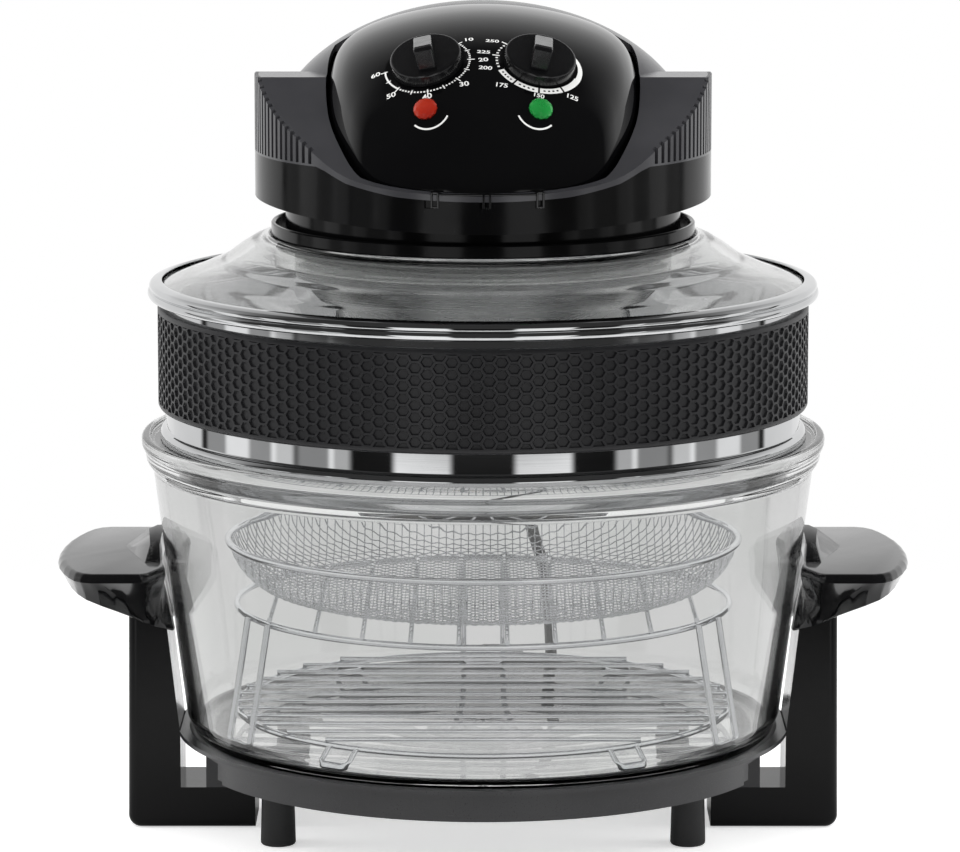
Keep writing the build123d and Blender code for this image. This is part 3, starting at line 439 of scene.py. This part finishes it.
def cloth_wires(lean):
    """Tubes along X over the dish, over and under their neighbours: z + h cos(pi (x/pitch + row + lean))."""
    count = int(CLOTH_REACH // CLOTH_PITCH)
    rows = np.arange(-count, count + 1)[:, None]
    share = np.linspace(-1, 1, 4 * count + 1)[None]
    x = share * np.sqrt(CLOTH_REACH ** 2 - (rows * CLOTH_PITCH) ** 2)
    y = np.broadcast_to(rows * CLOTH_PITCH, x.shape)
    z = dish(np.hypot(x, y)) + WEAVE_HEIGHT * np.cos(np.pi * (x / CLOTH_PITCH + rows + lean))
    line = np.stack([x, y, z], -1)
    beside = np.array([0, 1.0, 0])
    above = np.cross(np.gradient(line, axis=1), beside)
    above /= np.linalg.norm(above, axis=2, keepdims=True)
    spin = round_the_clock(WIRE_SIDES)[:, None]
    tubes = line[:, :, None] + CLOTH_WIRE_R * (np.cos(spin) * beside + np.sin(spin) * above[:, :, None])
    one = grid_faces(x.shape[1], WIRE_SIDES, False, True)
    starts = np.arange(len(rows)) * x.shape[1] * WIRE_SIDES
    return tubes.reshape(-1, 3), (starts[:, None, None] + one).reshape(-1, 4)


# The wires along Y are the same with X and Y exchanged, which turns their faces over.
warp, warp_faces = cloth_wires(0)
weft, weft_faces = cloth_wires(1)
cloth = np.vstack([warp, weft[:, [1, 0, 2]]])
cloth_faces = np.vstack([warp_faces, weft_faces[:, ::-1] + len(warp)])
woven_basket = piece_of("woven_basket", cloth, cloth_faces, chromed_wire, "basket", 80)
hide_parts("mesh_basket")


# ---- the extender ring -------------------------------------------------------
# Bright-annealed stainless strip rolled to a hoop, with faint lines from the rolls.
RING_OUTLINE = [(157.8, 193), (157.8, 196.6), (156.6, 198.2), (154.8, 198.8), (154.8, 262), (148.8, 262),
                (148.8, 261), (153.8, 261), (153.8, 198.8), (156.6, 194.2), (156.6, 193)]

bright_steel = grained("bright_stainless_strip", 1.0, 0.002, "#C4C5C6", "#D2D3D4", 0.03, 0.05,
                       stretch=(40, 40, 1), Metallic=1.0)
steel_hoop = turned("steel_hoop", eased(RING_OUTLINE, 0.6, 4), bright_steel, "extender")
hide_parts("steel_ring")


# ---- the silicone sleeve -----------------------------------------------------
# Moulded silicone stretched over the ring, with a honeycomb of shallow dimples.
SLEEVE_R = 158.6
CELLS_LOW, CELLS_HIGH = 211.6, 255.6
CELL_COLUMNS = 174
CELL_PITCH = 5.74
CELL_DEPTH = 1.1
LEAST_CELL = 0.4
SLEEVE_OUTLINE = [(SLEEVE_R, CELLS_HIGH), (158.6, 257.2), (158.2, 257.8), (157.6, 258), (154.82, 258),
                  (154.82, 209), (157.4, 209), (158.1, 209.3), (158.6, 210.2), (SLEEVE_R, CELLS_LOW)]

silicone = grained("moulded_silicone", 0.6, 0.02, "#1A1A1C", "#202022", 0.34, 0.44, IOR=1.42)


def honeycomb():
    """Points and faces of six-sided dimples: column i at 2 pi i/columns, each second one half a cell up."""
    step = CIRCLE / CELL_COLUMNS
    rows = int(np.ceil((CELLS_HIGH - CELLS_LOW) / CELL_PITCH)) + 1
    i, j = np.meshgrid(np.arange(CELL_COLUMNS), np.arange(rows), indexing="ij")
    middle_a = (i * step).ravel()[:, None]
    middle_z = (CELLS_LOW + (j + 0.5 * (i % 2)) * CELL_PITCH).ravel()[:, None]
    corner = round_the_clock(6)

    def loop(share, drop):
        a = middle_a + share * step / 1.5 * np.cos(corner)
        z = np.clip(middle_z + share * CELL_PITCH / np.sqrt(3) * np.sin(corner), CELLS_LOW, CELLS_HIGH)
        r = SLEEVE_R - drop
        return np.stack([r * np.cos(a), r * np.sin(a), z], -1)

    walls = [(1.0, 0), (0.82, 0), (0.76, 0.55 * CELL_DEPTH), (0.68, CELL_DEPTH)]
    loops = np.stack([loop(share, drop) for share, drop in walls], 1)
    loops = loops[np.ptp(loops[:, 0, :, 2], axis=1) > LEAST_CELL]
    start = np.arange(len(loops))[:, None] * len(walls) * 6
    faces = (start[..., None] + grid_faces(len(walls), 6, False, True)).reshape(-1, 4).tolist()
    floors = start + (len(walls) - 1) * 6 + np.arange(6)
    return loops.reshape(-1, 3), faces + floors.tolist()


cells, cell_faces = honeycomb()
skin, skin_faces = swept(SLEEVE_OUTLINE, 2 * CELL_COLUMNS, closed=False)
silicone_sleeve = piece_of("silicone_sleeve", np.vstack([cells, skin]),
                           cell_faces + (skin_faces + len(cells)).tolist(), silicone, "extender", 50)
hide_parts("silicone_band")


# ---- the lid -----------------------------------------------------------------
# Pressed glass dome in a rolled stainless rim, with a black neck ring on top.
LID_OUTLINE = [(159.8, 266.2), (157, 268.5), (142, 273.6), (127, 280), (119, 286), (112, 290.3),
               (105.2, 292.6), (103.8, 292.6), (103.4, 290), (98, 290), (98, 278), (101, 278), (101, 288.6),
               (108, 286.9), (116.6, 281.8), (125.2, 275.6), (140, 269.6), (155.6, 264.2), (159.8, 264.2)]
RIM_OUTLINE = [(152.5, 262), (161.4, 262), (162.9, 262.8), (163.4, 264.3), (163.0, 265.9), (161.9, 266.3),
               (162.5, 267.0), (162.6, 268.4), (161.5, 269.7), (158.6, 270.6), (156.4, 270.9),
               (156.1, 270.0), (159.9, 268.4), (161.0, 266.4), (160.4, 263.6), (152.5, 263.2)]

lid_dome = turned("lid_dome", eased(LID_OUTLINE, 2.4), soda_glass, "lid")
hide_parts("lid_glass")
steel_rim = turned("steel_rim", eased(RIM_OUTLINE, 0.5, 4), bright_steel, "lid")
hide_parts("lid_rim_band")
dress(polished_abs, "neck_ring")


# ---- the head's collar and cover ---------------------------------------------
# Collar of polished ABS and ribbed cover of textured ABS.
cover_abs = grained("spark_textured_ABS", 0.45, 0.008, "#343437", "#3D3D40", 0.16, 0.26, IOR=1.53)
dress(polished_abs, "head_base")
dress(cover_abs, "top_cover")


# ---- the crowned panel -------------------------------------------------------
# Mirror-polished ABS.  Its form is the meeting of a squircle plan and an
# ellipsoid, with a dished seat for each dial.
PLAN_SIDE, PLAN_FRONT, PLAN_REAR = 75.5, 97, 81
PLAN_MIDDLE_Y, PLAN_POWER = -14, 2.7
SHELL_MIDDLE, SHELL_REACH = (0, 15, 318), (118, 122, 84)
CROWN_REAR_Y, CROWN_LENGTH = 22, 127.4
CROWN_WALL = 2.8
TUCKED_IN = 0.12                                        # radians
DIAL_PLACE, DIAL_WAY = (26.5, -62.0, 380.5), (0.183, -0.496, 0.849)     # of the right dial
SEAT_R, SEAT_LIP = 18.7, 1.5
SEAT_DEPTH, SEAT_RISE = 1.95, 2.2

panel_gloss = grained("mirror_polished_ABS", 30, 0.06, "#060607", "#09090A", 0.03, 0.06, IOR=1.54)


def crown_gap(place, power=13.0):
    """Below 0 inside the panel: u^p + e^p - 1, where u is 1 on the squircle plan and e on the ellipsoid."""
    x, y = place[..., 0], place[..., 1]
    depth = np.where(y < PLAN_MIDDLE_Y, PLAN_FRONT, PLAN_REAR)
    u = np.abs(x / PLAN_SIDE) ** PLAN_POWER + np.abs((y - PLAN_MIDDLE_Y) / depth) ** PLAN_POWER
    e = np.linalg.norm((place - np.array(SHELL_MIDDLE)) / SHELL_REACH, axis=-1)
    return u ** (power / PLAN_POWER) + e ** power - 1


def reach_out(start, way, far):
    """Distance from start along way to the panel's surface, halving the interval 40 times."""
    low, high = np.zeros(way.shape[:-1]), np.full(way.shape[:-1], far)
    for _ in range(40):
        middle = (low + high) / 2
        inside = crown_gap(start + way * middle[..., None]) < 0
        low, high = np.where(inside, middle, low), np.where(inside, high, middle)
    return (low + high) / 2


def axes(way, side):
    """Across, up the slope and out of the panel, for a direction given for the right half."""
    out = np.array(way) * (side, 1, 1)
    out /= np.linalg.norm(out)
    across = np.array([out[2], 0, -out[0]]) / np.hypot(out[2], out[0])
    return across, np.cross(out, across), out


def crown():
    """Grid of points on the panel, in half rings from right to left, with both seats pressed in.

    The rings lie closer together at the rear, and their ends are tucked in below the collar's edge.
    """
    stations = CROWN_REAR_Y - CROWN_LENGTH * (1 - np.cos(np.linspace(0, np.pi / 2, 150))) ** 0.9
    sweep = np.linspace(-TUCKED_IN, np.pi + TUCKED_IN, 300)
    way = np.stack([np.cos(sweep), 0 * sweep, np.sin(sweep)], -1)[None]
    middle = np.stack([0 * stations, stations, np.full_like(stations, SHELL_MIDDLE[2])], -1)[:, None]
    middle, way = np.broadcast_arrays(middle, way)
    surface = middle + way * reach_out(middle, way, 130.0)[..., None]
    for side in (-1, 1):
        across, upward, out = axes(DIAL_WAY, side)
        place = surface - np.array(DIAL_PLACE) * (side, 1, 1)
        height = place @ out
        away = np.hypot(place @ across, place @ upward)
        seat = SEAT_RISE * np.clip((away - SEAT_R) / SEAT_LIP, 0, 1) ** 2 - SEAT_DEPTH
        in_seat = (away < SEAT_R + SEAT_LIP) & (height > -12)
        surface = surface + np.where(in_seat, np.minimum(seat - height, 0), 0)[..., None] * out
    return surface


panel_points = crown()
crown_panel = piece_of("crown_panel", panel_points.reshape(-1, 3), grid_faces(*panel_points.shape[:2]),
                       panel_gloss, "lid", 40)
shell = crown_panel.modifiers.new("wall", "SOLIDIFY")
shell.thickness = CROWN_WALL / 1000
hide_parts("control_panel")


# ---- the panel's catches -----------------------------------------------------
# Three moulded catches hold the panel to the collar, with a fine bead between them.
CATCH_BEARINGS = (-11.7, 0.9, 13.9)
CATCH_LEFT = ((-2, -1), (-111.3, -109), (316.8, 324.4))          # limits in x, y and z
CATCH_RIGHT = ((1, 2), (-111.3, -109), (316.8, 324.4))
CATCH_TOP = ((-2, 2), (-110.9, -104), (323.4, 324.6))
CATCH_FOOT = ((-2, 2), (-111.1, -109.6), (316.8, 317.8))
BEAD_AT, BEAD_Z, BEAD_R = 110.5, 323.4, 0.55
BEAD_STEPS, BEAD_SIDES = 60, 10


def cuboid(x, y, z):
    """Corners and faces of a box between pairs of limits."""
    corners = np.array([(i, j, k) for i in x for j in y for k in z], float)
    return corners, [[0, 1, 3, 2], [4, 6, 7, 5], [0, 4, 5, 1], [2, 3, 7, 6], [0, 2, 6, 4], [1, 5, 7, 3]]


def catches():
    """The bars of all three catches, turned to their bearings on the collar."""
    points, faces = [], []
    for bearing in np.radians(CATCH_BEARINGS):
        for limits in (CATCH_LEFT, CATCH_RIGHT, CATCH_TOP, CATCH_FOOT):
            corners, sides = cuboid(*limits)
            x = corners[:, 0] * np.cos(bearing) - corners[:, 1] * np.sin(bearing)
            y = corners[:, 0] * np.sin(bearing) + corners[:, 1] * np.cos(bearing)
            faces += [[corner + 8 * len(points) for corner in face] for face in sides]
            points.append(np.stack([x, y, corners[:, 2]], -1))
    return np.vstack(points), faces


panel_catches = piece_of("panel_catches", *catches(), panel_gloss, "lid")
round_edges(panel_catches, 0.3)

bearing = np.radians(np.linspace(-11, 13.2, BEAD_STEPS))[:, None]
ring = round_the_clock(BEAD_SIDES)[None]
radius = BEAD_AT + BEAD_R * np.cos(ring)
height = BEAD_Z + BEAD_R * np.sin(ring) + 0 * bearing
bead = np.stack([radius * np.sin(bearing), -radius * np.cos(bearing), height], -1)
bead_faces = grid_faces(BEAD_STEPS, BEAD_SIDES, False, True).tolist()
first_end = list(range(BEAD_SIDES))
last_end = [corner + (BEAD_STEPS - 1) * BEAD_SIDES for corner in reversed(first_end)]
bead_faces += [first_end, last_end]
panel_bead = piece_of("panel_bead", bead.reshape(-1, 3), bead_faces, panel_gloss, "lid")


# ---- the dials' print --------------------------------------------------------
# White screen print on the panel round each dial: figures, ticks and bands, each
# a flat shape in the dial's own plane that is carried out onto the crown.
INK_LIFT = 0.15
FIGURE_STRETCH = (1.18, 1.0)
# Ticks, as inner radius, outer radius and width, and lines, as inner and outer radius.
MINUTE_TICK, OFF_TICK = (19.9, 20.8, 0.9), (19.0, 21.6, 0.7)
FIVE_TICK, TEN_TICK = (19.2, 21.8, 0.5), (19.2, 22.6, 0.6)
LAST_TEN_LINE = (19.95, 20.75)
INNER_LINE, MIDDLE_LINE, OUTER_LINE = (18.3, 19.35), (19.3, 20.3), (20.25, 21.3)
LAMP_LINE, LAMP_MIDDLE = (9.5, 10.3), (3.0, -30.4)
# Sections of the heat scale, as first and last clock angle and number of dots.
HEAT_SECTIONS = ((104, 137.8, 0), (140.6, 172.3, 4), (175.1, 207.9, 4), (210.7, 239.5, 4))
HALF_DOT = 1.5
# Figures, as minutes and radius on the timer, and as text, radius, clock angle and size on the other.
TIMER_FIGURES = ((10, 26.2), (20, 26.6), (30, 25.2), (40, 23.5), (50, 25.0), (60, 25.2))
HEAT_FIGURES = (("250", 27.2, 300, 3.6), ("225", 26.8, 276, 3.6), ("200", 26.4, 248, 3.6),
                ("175", 26.0, 217, 3.6), ("150", 23.0, 174, 3.2), ("125", 25.2, 134, 3.6))

knob_abs = grained("knob_ABS", 6, 0.03, "#0D0D0E", "#121213", 0.16, 0.24, IOR=1.53)
dress(knob_abs, "timer_knob", "temperature_knob")
white_ink = grained("screen_printed_ink", 0.5, 0.01, "#E6E6E4", "#F4F4F2", 0.4, 0.5, IOR=1.5)


def onto_crown(side, flat):
    """Carries points of a dial's plane along its axis to just above the crown, and gives them in metres."""
    across, upward, out = axes(DIAL_WAY, side)
    base = np.array(DIAL_PLACE) * (side, 1, 1) + flat[:, :1] * across + flat[:, 1:2] * upward - 30 * out
    rise = reach_out(base, np.broadcast_to(out, base.shape), 60.0) + INK_LIFT
    return (base + out * rise[:, None]) / 1000


def inked(name, mesh):
    """A piece of print on the lid, from a mesh that lies on the crown."""
    mesh.materials.append(white_ink)
    made = new_object(name, mesh)
    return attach(made, "lid")


def printed(name, side, outlines):
    """Flat inked shapes, each an outline of points in the dial's plane."""
    starts = np.cumsum([0] + [len(outline) for outline in outlines]).tolist()
    mesh = bpy.data.meshes.new(name)
    mesh.from_pydata(onto_crown(side, np.vstack(outlines)).tolist(), [],
                     [list(range(first, last)) for first, last in zip(starts, starts[1:])])
    return inked(name, mesh)


def clock(angle):
    """Unit steps to a clock angle, in degrees from the top of the dial: (sin a, cos a)."""
    a = np.radians(angle)
    return np.stack([np.sin(a), np.cos(a)], -1)


def bar(angle, inner, outer, width):
    """Tick between two radii at a clock angle."""
    way = clock(angle)
    beside = np.array([way[1], -way[0]]) * width / 2
    return [inner * way - beside, inner * way + beside, outer * way + beside, outer * way - beside]


def arc(first, last, inner, outer, middle=(0, 0)):
    """Short quads along a ring between two clock angles."""
    way = clock(np.linspace(first, last, max(3, int(abs(last - first) / 4) + 1)))
    return [np.array([inner * a, outer * a, outer * b, inner * b]) + middle for a, b in zip(way, way[1:])]


def numeral(text, side, radius, angle, size):
    """Upright figures centred at a radius and clock angle."""
    words = bpy.data.curves.new("figures_" + text, "FONT")
    words.body = text
    words.size = size
    words.align_x = words.align_y = "CENTER"
    words.offset = 0.02 * size
    loose = new_object("loose", words)
    bpy.context.view_layer.update()
    mesh = bpy.data.meshes.new_from_object(loose.evaluated_get(bpy.context.evaluated_depsgraph_get()))
    bpy.data.objects.remove(loose)
    flat = np.array([v.co[:2] for v in mesh.vertices]) * FIGURE_STRETCH + radius * clock(angle)
    mesh.vertices.foreach_set("co", onto_crown(side, flat).ravel())
    mesh.update()
    return inked(f"figures_{text}_{hand(side)}", mesh)


def minute(m):
    """Clock angle of a number of minutes on the timer's scale."""
    return 8.5 + 4.43 * m


def timer_scale():
    """Left dial: a dot for each minute, ticks each five, a line for the last ten, and a mark for off."""
    ticks = [bar(minute(m), *MINUTE_TICK) for m in range(0, 61)]
    ticks += [bar(minute(m), *FIVE_TICK) for m in range(5, 60, 10)]
    ticks += [bar(minute(m), *TEN_TICK) for m in range(0, 61, 10)]
    ticks.append(bar(-5, *OFF_TICK))
    ticks += arc(minute(50), minute(60), *LAST_TEN_LINE)
    printed("timer_scale", -1, ticks)
    for m, radius in TIMER_FIGURES:
        numeral(str(m), -1, radius, minute(m) + 1, 4.0)


def temperature_scale():
    """Right dial: a band that widens from off, then a section between each two figures, with dots in it."""
    scale = []
    for a in range(4, 104, 4):
        scale += arc(a, a + 4, 19.8 - a / 90, 20.3 + a / 110)
    for first, last, dots in HEAT_SECTIONS:
        scale += arc(first, last, *INNER_LINE) + arc(first, last, *OUTER_LINE)
        middles = np.linspace(first, last, dots + 2)[1:-1]
        edges = [first, *np.stack([middles - HALF_DOT, middles + HALF_DOT], -1).ravel(), last]
        for start, end in zip(edges[::2], edges[1::2]):
            scale += arc(start, end, *MIDDLE_LINE)
    scale += [bar(angle, 19.6, 20.7, 1.0) for angle in np.linspace(247, 267, 4)]
    scale += [bar(angle, 19.8, 20.9, 1.0) for angle in np.linspace(278.5, 299, 4)]
    scale += [bar(272.5, 19.0, 22.4, 0.8), bar(305.5, 19.6, 23.4, 0.8)]
    spin = round_the_clock(24)
    scale.append(np.stack([-1.2 + 2.0 * np.cos(spin), 20.6 + 1.1 * np.sin(spin)], -1))
    printed("temperature_scale", 1, scale)
    for figures, radius, angle, size in HEAT_FIGURES:
        numeral(figures, 1, radius, angle, size)


timer_scale()
temperature_scale()
for side in (-1, 1):
    under_lamp = (LAMP_MIDDLE[0] * side, LAMP_MIDDLE[1])
    printed("lamp_mark_" + hand(side), side, arc(126, 234, *LAMP_LINE, middle=under_lamp))


# ---- the lamps' lenses -------------------------------------------------------
# Clear coloured polycarbonate, cut like a jewel: twelve facets a ring, turned
# half a facet from ring to ring.
JEWEL_RINGS = [(4.4, -5.5), (5.7, -0.5), (5.7, 0.5), (5.3, 1.3), (4.1, 2.3), (2.2, 3.0)]    # radius, height
JEWEL_TIP = 3.2
FACETS = 12
LENS_PLACE, LENS_WAY = (27.2, -85.5, 361.6), (0.208, -0.722, 0.660)     # of the right lens
LENS_DROP = 0.6

clear_red = grained("red_polycarbonate", 2.2, 0.25, "#CF2414", "#F2553A", 0.06, 0.14,
                    IOR=1.58, Transmission_Weight=0.55)
clear_green = grained("green_polycarbonate", 2.2, 0.25, "#109A38", "#45E06E", 0.06, 0.14,
                      IOR=1.58, Transmission_Weight=0.55)


def jewel(name, side, finish):
    """A lens, square to the crown at its place."""
    across, upward, out = axes(LENS_WAY, side)
    seat = np.array(LENS_PLACE) * (side, 1, 1) - LENS_DROP * upward
    r, h = np.array(JEWEL_RINGS).T[..., None, None]
    turn = (np.arange(FACETS) + 0.5 * (np.arange(len(JEWEL_RINGS))[:, None] % 2)) * CIRCLE / FACETS
    rings = seat + r * (np.cos(turn)[..., None] * across + np.sin(turn)[..., None] * upward) + h * out
    i = np.arange(FACETS)
    j = (i + 1) % FACETS
    faces = [i[::-1]]
    for k in range(len(JEWEL_RINGS) - 1):
        low, high = FACETS * k, FACETS * (k + 1)
        if k % 2 == 0:
            pairs = ((low + i, low + j, high + i), (low + j, high + j, high + i))
        else:
            pairs = ((low + i, low + j, high + j), (low + i, high + j, high + i))
        faces += [face for pair in pairs for face in np.stack(pair, -1)]
    tip = FACETS * len(JEWEL_RINGS)
    faces += [(a, b, tip) for a, b in zip(tip - FACETS + i, tip - FACETS + j)]
    points = np.vstack([rings.reshape(-1, 3), seat + JEWEL_TIP * out])
    return piece_of(name, points, faces, finish, "lid", 5)


red_jewel = jewel("red_jewel", -1, clear_red)
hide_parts("power_lens")
green_jewel = jewel("green_jewel", 1, clear_green)
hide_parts("heat_lens")


# ---- the heater --------------------------------------------------------------
# Spun steel shroud under the lid, round the ring-shaped quartz lamp on its
# steatite holders, with a bright aluminium reflector and fan.
SHROUD_OUTLINE = [(97.3, 289), (91, 289), (91, 272), (66.2, 247), (59, 247), (59, 248), (65.8, 248),
                  (90, 272.4), (90, 290), (97.3, 290)]

spun_steel = grained("spun_stainless", 0.5, 0.012, "#A9AAAA", "#BDBEBE", 0.2, 0.34,
                     stretch=(60, 60, 1), Metallic=1.0)
spun_shroud = turned("spun_shroud", eased(SHROUD_OUTLINE, 0.45, 3), spun_steel, "lid")
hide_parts("heater_shroud")
rolled_aluminium = grained("rolled_aluminium", 0.8, 0.01, "#C9CACC", "#DADBDC", 0.2, 0.32,
                           stretch=(20, 1, 1), Metallic=1.0)
quartz = grained("quartz_tube", 9, 0.02, "#EDE9E0", "#F7F4EE", 0.03, 0.08,
                 IOR=1.458, Transmission_Weight=0.85)
steatite = grained("unglazed_steatite", 0.5, 0.05, "#D8D4C8", "#E8E5DC", 0.55, 0.7, IOR=1.6)
dress(rolled_aluminium, "reflector_plate", "convection_fan")
dress(quartz, "halogen_lamp")
dress(steatite, "lamp_holders")


# ---- the motor ---------------------------------------------------------------
# Shaded-pole motor: laminated stator, taped winding and plastic fan, with the
# timer, the thermostat and the lamps' bodies round it.
laminations = grained("silicon_steel_laminations", 0.5, 0.05, "#6E7074", "#8C8E92", 0.35, 0.5,
                      stretch=(60, 60, 1), Metallic=1.0)
taped_winding = grained("taped_winding", 1.5, 0.08, "#B58A2E", "#D6AE4E", 0.35, 0.5,
                        stretch=(20, 1, 20), IOR=1.5)
nylon = grained("natural_nylon", 1.0, 0.02, "#D9D6CC", "#E6E3DA", 0.35, 0.5, IOR=1.53)
dress(laminations, "motor_stator")
dress(taped_winding, "motor_coil")
dress(nylon, "cooling_fan", "terminal_block")
dress(satin_abs, "timer_unit", "thermostat", "indicator_lamps")


# ---- the table ---------------------------------------------------------------
# A round of white paper under the oven that fades into the white background.
# Glass shows the room instead of it, and the camera sees a light shadow on it.
PAPER_R_M, PAPER_Z_M = 0.75, -0.0002
FADE_M = (0.36, 0.70)

white_paper = grained("white_background_paper", 3, 0.02, "#F6F6F6", "#FAFAFA", 0.8, 0.9, IOR=1.3)
paper_rays = add(white_paper, "LightPath").node.outputs
from_middle = add(white_paper, "VectorMath", {0: object_place(white_paper)}, operation="LENGTH").node
fade = ramp(white_paper, from_middle.outputs["Value"], grey(1), grey(0), at=FADE_M)
not_through_glass = maths(white_paper, "SUBTRACT", 1.0, paper_rays["Is Transmission Ray"])
socket(white_paper, "Emission_Color").default_value = grey(1)
feed(white_paper,
     Alpha=maths(white_paper, "MULTIPLY", fade, not_through_glass),
     Emission_Strength=maths(white_paper, "MULTIPLY", paper_rays["Is Camera Ray"], 0.5))

paper_rim = [(PAPER_R_M * np.cos(t), PAPER_R_M * np.sin(t), PAPER_Z_M) for t in round_the_clock(96)]
paper = bpy.data.meshes.new("paper_round")
paper.from_pydata(paper_rim, [], [list(range(len(paper_rim)))])
paper.update()
paper.materials.append(white_paper)
new_object("paper_round", paper)


# ---- the studio --------------------------------------------------------------
# What each kind of ray meets: white to the camera, pale grey through glass.  Gloss
# and metal mirror a bright backdrop behind the oven, a dim room in front of it,
# and, low down, the row of windows and dark gaps that bright steel shows as bands.
# Each band: the bearing from the front in degrees where it ends, and how bright it is.
BANDS = [(11.3, 0.01), (31.6, 1.2), (48, 0.01), (54.6, 0.6), (56, 1.1), (69, 0.35), (71, 0.12), (79, 0.8),
         (81, 1.2), (92, 0.4), (105, 1.1), (117, 0.4), (121, 0.03), (150, 0.9), (180, 0.95)]
BAND_BLUR = 0.006
ROOM_DIM, ROOM_BRIGHT = 0.045, 0.9
GLASS_LOW, GLASS_HIGH = 0.62, 0.92      # what glass shows towards the table and above it

world = bpy.data.worlds.new("studio")
scene.world = world
world.use_nodes = True
rays = add(world, "LightPath").node.outputs
direction = add(world, "TexCoord").node.outputs["Generated"]
east, north, up = add(world, "SeparateXYZ", {0: direction}).node.outputs


def low_room():
    """The bands, alike to the right and to the left: |atan2(x, -y)| / pi along a colour ramp."""
    bearing = maths(world, "ARCTAN2", east, maths(world, "MULTIPLY", north, -1.0))
    share = maths(world, "DIVIDE", maths(world, "ABSOLUTE", bearing), np.pi)
    bands = ramp(world, share, grey(BANDS[0][1]), grey(BANDS[-1][1]), at=(0.0, 1.0))
    for (edge, before), (_, after) in zip(BANDS, BANDS[1:]):
        for spot, value in ((edge / 180 - BAND_BLUR, before), (edge / 180 + BAND_BLUR, after)):
            bands.node.color_ramp.elements.new(spot).color = grey(value)
    return bands


def high_room():
    """The room above the table's level: bright behind the oven and not too high, dim elsewhere."""
    behind = ramp(world, north, grey(0), grey(1), at=(-0.12, 0.34))
    below_top = ramp(world, up, grey(1), grey(0), at=(0.30, 0.84))
    glow = maths(world, "MULTIPLY", behind, below_top)
    return ramp(world, glow, grey(ROOM_DIM), grey(ROOM_BRIGHT), at=(0.0, 1.0))


above = ramp(world, up, grey(0), grey(1), at=(0.0, 0.03))
mirrored = add(world, "MixRGB", {0: above, 1: low_room(), 2: high_room()})
through_glass = ramp(world, up, grey(GLASS_LOW), grey(GLASS_HIGH), at=(-0.08, 0.2))
seen = add(world, "MixRGB", {0: rays["Is Glossy Ray"], 1: grey(1.0), 2: mirrored})
seen = add(world, "MixRGB", {0: rays["Is Transmission Ray"], 1: seen, 2: through_glass})
world.node_tree.links.new(seen, world.node_tree.nodes["Background"].inputs["Color"])


def softbox(name, place_m, aim_m, size_m, watts):
    """Rectangular lamp that lights the oven but isn't seen in it."""
    lamp = bpy.data.lights.new(name, "AREA")
    lamp.shape = "RECTANGLE"
    lamp.size, lamp.size_y = size_m
    lamp.energy = watts
    made = new_object(name, lamp)
    made.visible_camera = made.visible_transmission = made.visible_glossy = False
    stand_and_aim(made, place_m, aim_m)


softbox("top_softbox", (0, 1.0, 1.9), (0, 0, 0.3), (1.5, 0.9), 14)
softbox("left_softbox", (-1.7, -0.1, 0.8), (0, 0, 0.2), (0.7, 1.2), 12)
softbox("right_softbox", (1.7, -0.1, 0.8), (0, 0, 0.2), (0.7, 1.2), 12)
